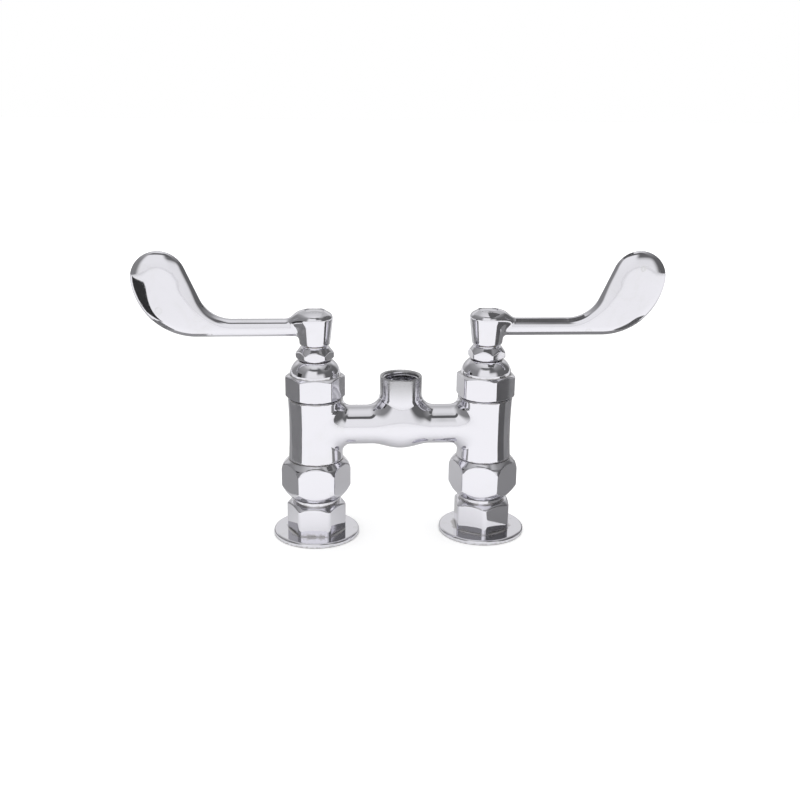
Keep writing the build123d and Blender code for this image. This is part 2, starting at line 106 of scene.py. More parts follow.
# Sizes of the coupling nut
coupling_flats = 36.5
coupling_floor = 3.3
coupling_opening = 13.55
coupling_bore = 15.65
coupling_foot_radius = 15.2
coupling_foot_slope = 6.8
coupling_head_slope = 7.0
coupling_shoulder_inset = 1.4
coupling_shoulder_drop = 3.1
coupling_head_radius = 16.6

# Sizes of the casting
column_foot_radius = 16.35
column_waist_radius = 15.7
column_head_radius = 16.4
column_edge_round = 0.5
column_foot = nut_high + 0.2
bridge_height = column_foot + 20.7
column_head = bridge_height + 17.3
column_bore = 11.1
column_inlet_bore = 8.5
seat_height = bridge_height - 13.3
gallery_radius = 12.6
gallery_half = 6.5
union_thread_radius = 15.6
spigot_radius = 13.6
spigot_top = column_head + 10.4
arm_radius = 11.75
arm_bore = 7.0
arm_fillet = 5.3
arm_fade_reach = 6.0
arm_fade_length = 18.0
outlet_radius = 12.5
outlet_top_radius = 12.4
outlet_draft_height = 4.0
outlet_rim_round = 0.4
outlet_fillet = 8.0
outlet_bore = 9.5
outlet_bore_depth = 16.0
outlet_mouth_radius = 11.7
outlet_mouth_depth = 0.9
outlet_mouth_round = 0.25
casting_cell = 0.67
casting_end_margin = 1.3
grid_margin = 1.1

# Where the casting is dull and darker: a skin of its bores, dull metal that also carries painted shade, and
# painted shade round the outlet that deepens up to its top
bore_skin = 0.5
mouth_skin = 0.3
painted_shade_low = 83.0
painted_shade_reach = 4.0
painted_shade_strength = 0.85

# Sizes of the threads, which wind inside the outlet and the inlets
thread_pitch = 1.814
thread_bite = 0.1
outlet_thread_root = 10.4
outlet_thread_low_gap = 0.6
outlet_thread_high_gap = 1.3
inlet_thread_root = 10.1
inlet_thread_radius = 9.13
inlet_thread_depth = 16.0
inlet_thread_gap = 0.9

# Sizes of the bonnet
sleeve_flange_top = spigot_top + 2.0
bonnet_flats = 31.75
bonnet_round = 17.7
bonnet_hex_top = bonnet_low + 14.0
bonnet_edge_inset = 0.5
bonnet_edge_slope = 1.2
bonnet_dome_radius = 15.0
bonnet_dome_round = 10.0
bonnet_dome_steps = 14
bonnet_bore = 13.65
bonnet_neck_bore = 7.45

# Sizes of the packing nut
packing_flats = 20.0
packing_round = 11.3
packing_hex_top = packing_low + 7.8
packing_foot_radius = 9.28
packing_foot_chamfer = 1.8
packing_head_radius = 8.56
packing_head_chamfer = 3.6
packing_collar_radius = 7.3
packing_bore = 7.45
packing_stem_bore = 5.05

# Sizes of the handle's hub and of the index cap that closes it
screw_head_height = 2.6
hub_foot_radius = 8.9
hub_head_radius = 11.1
hub_taper_cosine = 0.99
hub_taper_ends = (-0.2, 1.3)
hub_foot_round = 1.2
hub_rim_round = 2.0
hub_edge_round = 1.3
hub_crown_rise = 2.6
hub_side_top = cap_high - hub_crown_rise
hub_crown_reach = hub_head_radius - hub_edge_round
hub_crown_radius = (hub_crown_reach ** 2 + hub_crown_rise ** 2) / (2 * hub_crown_rise)
hub_crown_centre = cap_high - hub_crown_radius
hub_pocket_radius = 5.6
hub_pocket_low = screw_high - screw_head_height + close_fit
hub_pocket_round = 0.15
hub_socket_radius = packing_stem_bore
hub_socket_high = stem_high + close_fit
hub_socket_round = 0.3
cap_clearance = 0.04
cap_wall = 1.0
cap_thickness = 2.0
cap_rim_inset = 0.35
cap_rim_drop = 0.45
cap_steps = 12

# Sizes of the handle's arm and blade, pointing along +X from the hub
handle_arm_start = -10.0
handle_arm_low = handle_low + 5.1
handle_arm_high = handle_arm_low + 10.5
arm_half_thickness = 4.4
arm_edge_depth = 5.2
arm_fillet_rise = 3.0
arm_fillet_low = 1.8
arm_fillet_high = 7.3
blade_half_thickness = 3.3
blade_edge_depth = 9.5
blade_rise = 22.0
blade_crown = 0.8
blade_crown_reach = 7.0
blade_back_radius = 36.7
blade_back_start = 67.9
blade_tip_radius = 16.0
blade_tip_turn = 7.5
blade_front_angle = 66.0
blade_root_radius = 20.0
handle_grid_end = 106.0
handle_cell = 0.45

# Turn of each hexagon, in degrees, as the photographed tap was put together
nut_turns = {
    "hot": {"flanged_inlet": -5.0, "coupling_nut": 0.0, "bonnet": 0.0, "packing_nut": 0.0},
    "cold": {"flanged_inlet": -31.0, "coupling_nut": -13.0, "bonnet": -20.0, "packing_nut": -20.0},
}


# Node trees


class Value:
    """An output of a node that formulas can be written with."""

    def __init__(self, wiring, socket):
        self.wiring = wiring
        self.socket = socket

    def __add__(self, other):
        return self.wiring.math("ADD", self, other)

    def __sub__(self, other):
        return self.wiring.math("SUBTRACT", self, other)

    def __rsub__(self, other):
        return self.wiring.math("SUBTRACT", other, self)

    def __mul__(self, other):
        return self.wiring.math("MULTIPLY", self, other)

    def __truediv__(self, other):
        return self.wiring.math("DIVIDE", self, other)

    def __rtruediv__(self, other):
        return self.wiring.math("DIVIDE", other, self)

    def __pow__(self, other):
        return self.wiring.math("POWER", self, other)

    def __abs__(self):
        return self.wiring.math("ABSOLUTE", self)


class Wiring:
    """Adds nodes to a tree, sets their inputs by name or number, and joins them."""

    def __init__(self, tree):
        self.tree = tree

    def feed(self, socket, value):
        if isinstance(value, Value):
            self.tree.links.new(value.socket, socket)
        else:
            socket.default_value = value

    def node(self, kind, inputs=None, **settings):
        node = self.tree.nodes.new(kind)
        for key, value in settings.items():
            setattr(node, key, value)
        for key, value in (inputs or {}).items():
            self.feed(node.inputs[key], value)
        return node

    def value(self, kind, inputs=None, output=0, **settings):
        """One output of a new node."""
        return Value(self, self.node(kind, inputs, **settings).outputs[output])

    def values(self, kind, inputs=None):
        """All outputs of a new node, by name."""
        return {socket.name: Value(self, socket) for socket in self.node(kind, inputs).outputs}

    def math(self, operation, *values):
        return self.value("ShaderNodeMath", dict(enumerate(values)), operation=operation)

    def distance(self, across, up):
        """The long side of a triangle with a right angle."""
        return self.math("SQRT", across * across + up * up)

    def split(self, vector):
        return self.values("ShaderNodeSeparateXYZ", {"Vector": vector}).values()

    def vector(self, x, y, z):
        return self.value("ShaderNodeCombineXYZ", {"X": x, "Y": y, "Z": z})

    def ramp(self, value, low, high, bottom=0.0, top=1.0):
        """A value carried smoothly from one range to another."""
        inputs = {"Value": value, "From Min": low, "From Max": high, "To Min": bottom, "To Max": top}
        return self.value("ShaderNodeMapRange", inputs, interpolation_type="SMOOTHSTEP")

    def noise(self, vector, scale, **details):
        """A cloudy texture around one half; details are its detail, roughness and distortion."""
        inputs = {"Vector": vector, "Scale": scale}
        for label, value in details.items():
            inputs[label.capitalize()] = value
        return self.value("ShaderNodeTexNoise", inputs)

    def mix(self, share, below, above):
        """One colour laid over another by a share."""
        return self.value("ShaderNodeMix", {0: share, 6: below, 7: above}, output=2, data_type="RGBA")


GEOMETRY = "NodeSocketGeometry"
VECTOR = "NodeSocketVector"
FLOAT = "NodeSocketFloat"
KIND_OF = {int: "NodeSocketInt", float: FLOAT}


def new_group(name, kind, inputs, output, output_kind):
    """A node group with one output. An input is given by its value, or else by its kind of socket."""
    tree = bpy.data.node_groups.new(name, kind)
    tree.interface.new_socket(output, in_out="OUTPUT", socket_type=output_kind)
    for label, value in inputs.items():
        if isinstance(value, str):
            tree.interface.new_socket(label, in_out="INPUT", socket_type=value)
            continue
        item = tree.interface.new_socket(label, in_out="INPUT", socket_type=KIND_OF[type(value)])
        item.default_value = value
    wiring = Wiring(tree)
    return tree, wiring, wiring.values("NodeGroupInput")


def linked(name, data):
    """A new object of the scene."""
    item = bpy.data.objects.new(name, data)
    bpy.context.scene.collection.objects.link(item)
    return item


def grown(name, mesh, tree, settings):
    """The plain mesh that a Geometry Nodes tree makes, as a new object at the origin."""
    seed = linked(f"{name}_outline", mesh)
    modifier = seed.modifiers.new("tree", "NODES")
    modifier.node_group = tree
    for item in tree.interface.items_tree:
        if item.in_out == "INPUT" and item.name in settings:
            modifier[item.identifier] = settings[item.name]
    evaluated = seed.evaluated_get(bpy.context.evaluated_depsgraph_get())
    made = bpy.data.meshes.new_from_object(evaluated)
    made.name = name
    seed.modifiers.remove(modifier)
    bpy.data.objects.remove(seed)
    return linked(name, made)


def close_shape(w, geometry, smooth, finish):
    """The end of a tree that makes a shape: its shading, its plain mesh and its material."""
    shaded = w.value("GeometryNodeSetShadeSmooth", {0: geometry, "Shade Smooth": smooth})
    real = w.value("GeometryNodeRealizeInstances", {0: shaded})
    plated = w.value("GeometryNodeSetMaterial", {"Geometry": real, "Material": finish})
    w.node("NodeGroupOutput", {"Geometry": plated})


def finished(piece, body, slot, *nodes):
    """A piece that moves with its body and stands in for its node, where it has one. Its slot is not used."""
    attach(piece, body)
    if nodes:
        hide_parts(*nodes)
    return piece


# Turned pieces, some of them cut to a hexagon

# The outline is swept along a circle this small, in metres, and is drawn that much nearer to it
PATH_RADIUS = 0.001
# Places nearer than this are one place, in metres
SAME_PLACE = 1e-6
# The first ring beside a corner keeps its edge crisp, in millimetres
EDGE_SUPPORT = 0.12
ARC_STEP = radians(9)
# A width or height past any piece, at which nothing is cut
UNCUT = 1000.0


def turned_part_tree():
    """Turns an outline about a column, cuts a stretch of it to a hexagon and moves it into place."""
    inputs = {
        "Outline": GEOMETRY,
        "Steps Round": 288,
        "Column": 0.0,
        "Turn": 0.0,
        "Across Flats": 1.0,
        "Corner Softness": 0.00035,
        "Corner Sharpness": 70.0,
        "Cut From": 0.0,
        "Cut To": 1.0,
        "Finish": "NodeSocketMaterial",
    }
    tree, w, given = new_group("turned_part", "GeometryNodeTree", inputs, "Geometry", GEOMETRY)
    outline = w.value("GeometryNodeMeshToCurve", {"Mesh": given["Outline"]})
    circle = {"Resolution": given["Steps Round"], "Radius": PATH_RADIUS}
    path = w.value("GeometryNodeCurvePrimitiveCircle", circle)
    lathe = w.value("GeometryNodeCurveToMesh", {"Curve": path, "Profile Curve": outline})
    sealed = w.value("GeometryNodeMergeByDistance", {"Geometry": lathe, "Distance": SAME_PLACE})

    # The hexagon's radius at each angle, with corners a little soft
    x, y, z = w.split(w.value("GeometryNodeInputPosition"))
    radius = w.distance(x, y)
    sharpness = given["Corner Sharpness"]
    off_middle = abs(w.math("WRAP", w.math("ARCTAN2", y, x), 0.0, pi / 3) - pi / 6)
    this_face = w.math("COSINE", off_middle) ** sharpness
    next_face = w.math("COSINE", pi / 3 - off_middle) ** sharpness
    hexagon = given["Across Flats"] * 0.5 / (this_face + next_face) ** (1.0 / sharpness)

    # Whichever is less, the turned radius or the hexagon, with a soft edge between them
    softness = given["Corner Softness"]
    share = w.value("ShaderNodeClamp", {"Value": (hexagon - radius) / softness * 0.5 + 0.5})
    rest = 1.0 - share
    milled = radius * share + hexagon * rest - share * rest * softness
    shrink = milled / w.math("MAXIMUM", radius, SAME_PLACE)
    above = w.value("FunctionNodeCompare", {"A": z, "B": given["Cut From"]}, operation="GREATER_THAN")
    below = w.value("FunctionNodeCompare", {"A": z, "B": given["Cut To"]}, operation="LESS_THAN")
    within = w.value("FunctionNodeBooleanMath", {0: above, 1: below}, operation="AND")
    position = w.vector(x * shrink, y * shrink, z)
    cut = w.value("GeometryNodeSetPosition", {"Geometry": sealed, "Selection": within, "Position": position})
    place = w.vector(given["Column"], 0.0, 0.0)
    turn = w.vector(0.0, 0.0, given["Turn"])
    placed = w.value("GeometryNodeTransform", {"Geometry": cut, "Translation": place, "Rotation": turn})
    close_shape(w, placed, True, given["Finish"])
    return tree


def rounded_outline(corners, spacing):
    """Points of a closed outline of (radius, height, rounding) corners, in millimetres."""
    count = len(corners)
    arcs = []
    for index, (radius, height, rounding) in enumerate(corners):
        here = np.array([radius, height], float)
        back = np.array(corners[index - 1][:2], float) - here
        ahead = np.array(corners[(index + 1) % count][:2], float) - here
        back /= np.linalg.norm(back)
        ahead /= np.linalg.norm(ahead)
        if not rounding:
            arcs.append([here])
            continue
        half = np.arccos(np.clip(back @ ahead, -1, 1)) / 2
        reach = rounding / tan(half)
        middle = (back + ahead) / np.linalg.norm(back + ahead)
        centre = here + middle * rounding / sin(half)
        first = here + back * reach - centre
        last = here + ahead * reach - centre
        sweep = pi - 2 * half
        steps = max(4, ceil(sweep / ARC_STEP))
        arc = []
        for step in range(steps + 1):
            share = step / steps
            arm = sin((1 - share) * sweep) * first + sin(share * sweep) * last
            arc.append(centre + arm / sin(sweep))
        arcs.append(arc)
    points = []
    for index, arc in enumerate(arcs):
        points.extend(arc)
        gap = arcs[(index + 1) % count][0] - arc[-1]
        length = float(np.linalg.norm(gap))
        if length > 4 * EDGE_SUPPORT:
            pieces = max(1, ceil(length / spacing))
            shares = [step / pieces for step in range(1, pieces)]
            shares += [EDGE_SUPPORT / length, 1 - EDGE_SUPPORT / length]
            points.extend(arc[-1] + gap * share for share in sorted(shares))
    return points


def turned_piece(name, side, corners, finish, turn=0.0, flats=UNCUT, cut=(0.0, UNCUT), spacing=1.0):
    """A turned piece on a column, from an outline that runs up its outside and down its bore."""
    points = rounded_outline(corners, spacing)[::-1]
    mesh = bpy.data.meshes.new(f"{name}_outline")
    rows = [(r * MM - PATH_RADIUS, -z * MM, 0.0) for r, z in points]
    mesh.from_pydata(rows, [(i, (i + 1) % len(rows)) for i in range(len(rows))], [])
    settings = {
        "Column": column_x[side] * MM,
        "Turn": radians(turn),
        "Across Flats": flats * MM,
        "Cut From": cut[0] * MM,
        "Cut To": cut[1] * MM,
        "Finish": finish,
    }
    return grown(name, mesh, shape_trees["turned"], settings)


# Screw threads


def screw_thread_tree():
    """A tapering ridge wound inside a bore."""
    inputs = {
        "Outline": GEOMETRY,
        "Column": 0.0,
        "Low": 0.0,
        "Length": 0.01,
        "Root Radius": 0.01,
        "Depth": 0.001,
        "Pitch": 0.0018,
        "Steps Per Turn": 96,
        "Blunt End": 0.25,
        "Ridge Share": 0.47,
        "Finish": "NodeSocketMaterial",
    }
    tree, w, given = new_group("screw_thread", "GeometryNodeTree", inputs, "Geometry", GEOMETRY)
    turns = given["Length"] / given["Pitch"]
    coil = {
        "Resolution": given["Steps Per Turn"],
        "Rotations": turns,
        "Start Radius": given["Root Radius"],
        "End Radius": given["Root Radius"],
        "Height": given["Length"],
    }
    spiral = w.value("GeometryNodeCurveSpiral", coil)
    along = w.value("GeometryNodeSplineParameter", output="Factor")
    from_end = w.math("MINIMUM", along, 1.0 - along)
    taper = w.math("MINIMUM", 1.0, from_end * turns * 2.0 + given["Blunt End"])
    diamond = w.value("GeometryNodeCurvePrimitiveCircle", {"Resolution": 4, "Radius": 1.0})
    size = w.vector(given["Depth"], given["Pitch"] * given["Ridge Share"], 1.0)
    ridge = w.value("GeometryNodeTransform", {"Geometry": diamond, "Scale": size})
    sweep = {"Curve": spiral, "Profile Curve": ridge, "Scale": taper, "Fill Caps": True}
    swept = w.value("GeometryNodeCurveToMesh", sweep)
    place = w.vector(given["Column"], 0.0, given["Low"])
    placed = w.value("GeometryNodeTransform", {"Geometry": swept, "Translation": place})
    close_shape(w, placed, False, given["Finish"])
    return tree


def wound_thread(name, column, low, high, wall, crest):
    """A thread in a bore, from a little inside its wall in to the crest."""
    root = wall + thread_bite
    settings = {
        "Column": column * MM,
        "Low": low * MM,
        "Length": (high - low) * MM,
        "Root Radius": root * MM,
        "Depth": (root - crest) * MM,
        "Pitch": thread_pitch * MM,
        "Finish": finishes["chrome_fittings"],
    }
    return grown(name, bpy.data.meshes.new(name), shape_trees["thread"], settings)


shape_trees = {"turned": turned_part_tree(), "thread": screw_thread_tree()}


# Smooth solids described by a signed distance in millimetres, negative inside

# How the points of a solid are spread over it and brought onto its surface
settle_rounds = 6
slope_step = 0.01
least_slope_square = 0.05


def eased(value, low, high):
    """0 below a range, 1 above it, and smoothly from one to the other in it."""
    share = np.clip((value - low) / (high - low), 0, 1)
    return share * share * (3 - 2 * share)


def joined(a, b, rounding):
    """Two solids run together with a fillet of a given radius."""
    u = np.maximum(rounding - a, 0)
    v = np.maximum(rounding - b, 0)
    return np.maximum(rounding, np.minimum(a, b)) - np.sqrt(u * u + v * v)


def common(a, b, rounding):
    """What two solids share, with a rounded edge."""
    u = np.maximum(rounding + a, 0)
    v = np.maximum(rounding + b, 0)
    return np.minimum(-rounding, np.maximum(a, b)) + np.sqrt(u * u + v * v)


def smooth_solid(field, low, high, cell):
    """Points and quads of a field's zero surface, with every point moved onto it."""
    axes = [np.arange(a, b + cell, cell) for a, b in zip(low, high)]
    grid = np.stack(np.meshgrid(*axes, indexing="ij"), axis=-1)
    shape = grid.shape[:3]
    inside = field(grid.reshape(-1, 3)).reshape(shape) < 0
    corners = sum(
        inside[i:shape[0] - 1 + i, j:shape[1] - 1 + j, k:shape[2] - 1 + k].astype(np.int8)
        for i in (0, 1) for j in (0, 1) for k in (0, 1)
    )
    mixed = (corners > 0) & (corners < 8)
    number = -np.ones(mixed.shape, int)
    number[mixed] = np.arange(mixed.sum())
    where = np.argwhere(mixed)
    points = np.array(low) + (where + 0.5) * cell
    quads = []
    for axis in range(3):
        cut = [slice(0, n) for n in shape]
        cut[axis] = slice(0, shape[axis] - 1)
        nearer = inside[tuple(cut)]
        cut[axis] = slice(1, shape[axis])
        farther = inside[tuple(cut)]
        u, v = (axis + 1) % 3, (axis + 2) % 3
        for flip, change in ((False, nearer & ~farther), (True, ~nearer & farther)):
            at = np.argwhere(change)
            at = at[(at[:, u] > 0) & (at[:, v] > 0)]
            around = []
            for du, dv in ((-1, -1), (0, -1), (0, 0), (-1, 0)):
                cell_at = at.copy()
                cell_at[:, u] += du
                cell_at[:, v] += dv
                around.append(number[tuple(cell_at.T)])
            quad = np.stack(around, axis=1)
            quads.append(quad[:, ::-1] if flip else quad)
    quads = np.concatenate(quads)
    points = settle(field, points, quads, cell)
    return points, quads.tolist()


def settle(field, points, quads, cell):
    """The points spread evenly and brought onto the zero surface."""
    pairs = np.concatenate([quads[:, [i, (i + 1) % 4]] for i in range(4)])
    pairs = np.concatenate([pairs, pairs[:, ::-1]])
    weight = np.bincount(pairs[:, 0], minlength=len(points))[:, None]
    for _ in range(settle_rounds):
        points = onto_surface(field, points, cell, 2)
        mean = np.zeros_like(points)
        for axis in range(3):
            mean[:, axis] = np.bincount(pairs[:, 0], points[pairs[:, 1], axis], len(points))
        points = points + 0.5 * (mean / weight - points)
    return onto_surface(field, points, cell, 5)


def onto_surface(field, points, cell, rounds):
    """The points moved down the slope of the field to where it is zero, a cell at most each round."""
    for _ in range(rounds):
        value = field(points)
        slope = np.empty_like(points)
        for axis in range(3):
            shift = np.zeros(3)
            shift[axis] = slope_step
            slope[:, axis] = (field(points + shift) - field(points - shift)) / (2 * slope_step)
        square = np.maximum((slope ** 2).sum(axis=1), least_slope_square)
        move = -(value / square)[:, None] * slope
        length = np.linalg.norm(move, axis=1)[:, None]
        points = points + move * np.minimum(1, cell / np.maximum(length, 1e-9))
    return points


def smooth_mesh(name, points, faces, finish):
    """A smooth object from points in millimetres."""
    mesh = bpy.data.meshes.new(name)
    mesh.from_pydata((np.asarray(points, float) * MM).tolist(), [], faces)
    mesh.polygons.foreach_set("use_smooth", [True] * len(mesh.polygons))
    mesh.materials.append(finish)
    mesh.update()
    return linked(name, mesh)


def shaft(p, radius, low, high, x=0.0):
    """An upright cylinder with crisp ends."""
    side = np.hypot(p[:, 0] - x, p[:, 1]) - radius
    return np.maximum(side, np.maximum(low - p[:, 2], p[:, 2] - high))


def column_field(p):
    """The waisted round outside of a column."""
    middle = (column_foot + column_head) / 2
    half = (column_head - column_foot) / 2
    along = (p[:, 2] - middle) / half
    end_radius = np.where(along < 0, column_foot_radius, column_head_radius)
    radius = column_waist_radius + (end_radius - column_waist_radius) * np.clip(along ** 2, 0, 1.5)
    side = np.hypot(p[:, 0] - half_centres, p[:, 1]) - radius
    ends = np.maximum(column_foot - p[:, 2], p[:, 2] - column_head)
    return common(side, ends, column_edge_round)


def outlet_field(p):
    """An upright boss that ends in a half ball on the axis of the crosspiece."""
    up_draft = np.clip((p[:, 2] - outlet_top + outlet_draft_height) / outlet_draft_height, 0, 1)
    draft = up_draft * (outlet_radius - outlet_top_radius)
    height = np.minimum(p[:, 2] - bridge_height, 0)
    side = np.sqrt(p[:, 0] ** 2 + p[:, 1] ** 2 + height ** 2) - outlet_radius + draft
    return common(side, p[:, 2] - outlet_top, outlet_rim_round)


def casting_field(p):
    """Two columns, the crosspiece and the outlet, with their bores. The columns mirror each other."""
    x = np.abs(p[:, 0])
    mirrored = np.stack([x, p[:, 1], p[:, 2]], axis=1)
    from_axis = np.hypot(p[:, 1], p[:, 2] - bridge_height)
    fade = np.maximum(x - half_centres + arm_fade_reach, 0) ** 2 / arm_fade_length
    outside = joined(column_field(mirrored), from_axis - arm_radius + fade, arm_fillet)
    outside = joined(outside, outlet_field(p), outlet_fillet)
    for radius, low, high in (
        (union_thread_radius, casting_low, column_foot + overlap),
        (spigot_radius, column_head - overlap, spigot_top),
    ):
        outside = np.minimum(outside, shaft(mirrored, radius, low, high, half_centres))
    way = np.maximum(from_axis - arm_bore, x - half_centres)
    bores = np.minimum(way, shaft(p, arm_bore, bridge_height, outlet_top + bore_overrun))
    for radius, low, high in (
        (column_bore, seat_height, spigot_top + bore_overrun),
        (column_inlet_bore, casting_low - bore_overrun, seat_height + overlap),
        (gallery_radius, bridge_height - gallery_half, bridge_height + gallery_half),
    ):
        bores = np.minimum(bores, shaft(mirrored, radius, low, high, half_centres))
    solid = np.maximum(outside, -bores)
    slope = (outlet_mouth_radius - outlet_thread_root) / outlet_mouth_depth
    flare = np.clip(p[:, 2] - outlet_top + outlet_mouth_depth, 0, outlet_mouth_depth + overlap) * slope
    around = np.hypot(p[:, 0], p[:, 1])
    mouth = np.maximum(around - outlet_thread_root - flare, outlet_top - outlet_bore_depth - p[:, 2])
    return common(solid, -mouth, outlet_mouth_round)


def casting_dullness_and_shade(points):
    """1 on the machined bores, dull metal with painted shade, 0 on the polished skin, and painted shade round the
    outlet that fades out below its top.
    """
    x = np.abs(points[:, 0])
    column = np.hypot(x - half_centres, points[:, 1])
    outlet = np.hypot(points[:, 0], points[:, 1])
    way = np.hypot(points[:, 1], points[:, 2] - bridge_height)
    inside = (column < gallery_radius + bore_skin) & (x > half_centres - gallery_radius - bore_skin)
    inside |= (outlet < outlet_thread_root + mouth_skin) & (points[:, 2] > bridge_height)
    inside |= (way < arm_bore + bore_skin) & (x < half_centres)
    # Painted shade: the outlet darkens more and more towards its top
    painted_shade = eased(points[:, 2], painted_shade_low, outlet_top) * painted_shade_strength * (outlet < outlet_radius + painted_shade_reach)
    return np.where(inside, 1.0, painted_shade)


def make_casting():
    reach = half_centres + column_head_radius + casting_end_margin
    low = (-reach, -column_head_radius - grid_margin, casting_low - grid_margin)
    high = (reach, column_head_radius + grid_margin, outlet_top + grid_margin)
    points, faces = smooth_solid(casting_field, low, high, casting_cell)
    piece = smooth_mesh("bridge_body", points, faces, finishes["chrome_casting"])
    # Mask of the dull bores and of painted shade, where the finish turns darker grey
    mask = piece.data.attributes.new("dullness_and_shade", "FLOAT", "POINT")
    mask.data.foreach_set("value", casting_dullness_and_shade(points))
    return finished(piece, "tap_body", "chrome_casting", "body_casting")


# Handle


def outline_distance(x, z, parts):
    """Signed distance to an outline of lines and arcs that run into each other smoothly."""
    best = np.full(x.shape, 1e9)
    value = np.full(x.shape, 1e9)
    for part in parts:
        if part[0] == "line":
            _, (x0, z0), (x1, z1) = part
            length = hypot(x1 - x0, z1 - z0)
            ux, uz = (x1 - x0) / length, (z1 - z0) / length
            along = (x - x0) * ux + (z - z0) * uz
            side = (x - x0) * uz - (z - z0) * ux
            past = np.maximum(np.maximum(-along, along - length), 0)
            signed = side
        else:
            _, (cx, cz), radius, start, end = part
            sign = 1 if end > start else -1
            low, high = min(start, end), max(start, end)
            middle = radians((low + high) / 2)
            half = radians((high - low) / 2)
            angle = np.arctan2(z - cz, x - cx) - middle
            angle = (angle + pi) % (2 * pi) - pi
            away = np.hypot(x - cx, z - cz)
            signed = sign * (away - radius)
            past = np.maximum(np.abs(angle) - half, 0) * np.maximum(away, 0.5)
        distance = np.hypot(signed, past)
        nearer = distance < best
        best = np.where(nearer, distance, best)
        value = np.where(nearer, np.where(signed < 0, -distance, distance), value)
    return value


def on_circle(centre, radius, degrees_round):
    angle = radians(degrees_round)
    return centre[0] + radius * cos(angle), centre[1] + radius * sin(angle)


def blade_parts():
    """Arm and blade from the side: straight arm, round back, round tip and hollow front."""
    back_centre = (blade_back_start, handle_arm_low + blade_back_radius)
    offset = blade_back_radius - blade_tip_radius
    tip_centre = on_circle(back_centre, offset, -blade_tip_turn)
    front_top = on_circle(tip_centre, blade_tip_radius, blade_front_angle + 90)
    corner = front_top[0] - (front_top[1] - handle_arm_high) / tan(radians(blade_front_angle))
    tangent = blade_root_radius * tan(radians(blade_front_angle / 2))
    root_centre = (corner - tangent, handle_arm_high + blade_root_radius)
    root_top = on_circle(root_centre, blade_root_radius, blade_front_angle - 90)
    return [
        ("line", (handle_arm_start, handle_arm_low), (blade_back_start, handle_arm_low)),
        ("arc", back_centre, blade_back_radius, -90.0, -blade_tip_turn),
        ("arc", tip_centre, blade_tip_radius, -blade_tip_turn, blade_front_angle + 90),
        ("line", front_top, root_top),
        ("arc", root_centre, blade_root_radius, blade_front_angle - 90, -90.0),
        ("line", (root_centre[0], handle_arm_high), (handle_arm_start, handle_arm_high)),
    ]


def hub_field(p):
    """A tapering hub under a shallow crown."""
    along = np.clip((p[:, 2] - handle_low) / (hub_side_top - handle_low), *hub_taper_ends)
    radius = hub_foot_radius + (hub_head_radius - hub_foot_radius) * along
    around = np.hypot(p[:, 0], p[:, 1])
    side = (around - radius) * hub_taper_cosine
    crown = np.hypot(around, p[:, 2] - hub_crown_centre) - hub_crown_radius
    hub = common(side, crown, hub_rim_round)
    return common(hub, handle_low - p[:, 2], hub_foot_round)


def handle_field(p):
    """The hub run into an arm that spreads to a crowned upright blade."""
    flat = outline_distance(p[:, 0], p[:, 2], blade_parts())
    flat = np.maximum(flat, -p[:, 0])
    rise = eased(p[:, 2], handle_arm_high, handle_arm_high + blade_rise)
    depth = arm_edge_depth + (blade_edge_depth - arm_edge_depth) * rise
    crown = blade_crown * rise * (1 - np.exp(np.minimum(flat, 0) / blade_crown_reach))
    half = arm_half_thickness + (blade_half_thickness - arm_half_thickness) * rise + crown
    from_middle = np.maximum(depth + flat, 0) / depth
    blade = (np.hypot(from_middle, p[:, 1] / half) - 1) * half
    up_arm = eased(p[:, 2], handle_arm_low + arm_fillet_rise, handle_arm_high)
    fillet = arm_fillet_low + (arm_fillet_high - arm_fillet_low) * up_arm
    handle = joined(hub_field(p), blade, fillet)
    pocket = shaft(p, hub_pocket_radius, hub_pocket_low, handle_high)
    socket = shaft(p, hub_socket_radius, handle_low - bore_overrun, hub_socket_high)
    handle = common(handle, -pocket, hub_pocket_round)
    return common(handle, -socket, hub_socket_round)


def make_handles():
    """Both handles from one shape, the hot one turned half round."""
    low = (-hub_head_radius - grid_margin, -hub_head_radius - grid_margin, handle_low - grid_margin)
    high = (handle_grid_end, hub_head_radius + grid_margin, handle_high + grid_margin)
    points, faces = smooth_solid(handle_field, low, high, handle_cell)
    for side in SIDES:
        facing = 1 if side == "cold" else -1
        placed = points * np.array([facing, facing, 1.0]) + np.array([column_x[side], 0, 0])
        piece = smooth_mesh(f"{side}_wrist_blade", placed, faces, finishes["chrome_handles"])
        finished(piece, f"{side}_spindle", "chrome_handles", f"{side}_handle")


# Round and hexagonal pieces. Outlines of (radius, height, rounding) run up the outside and down the bore.


def make_fitting(side, name, node, corners, flats, cut=(0.0, UNCUT), spacing=1.0):
    """A turned and milled fitting of the tap body, at its turn on this side, in place of a node."""
    turn = nut_turns[side][node]
    finish = finishes["chrome_fittings"]
    piece = turned_piece(f"{side}_{name}", side, corners, finish, turn, flats, cut, spacing)
    return finished(piece, "tap_body", "chrome_fittings", f"{side}_{node}")


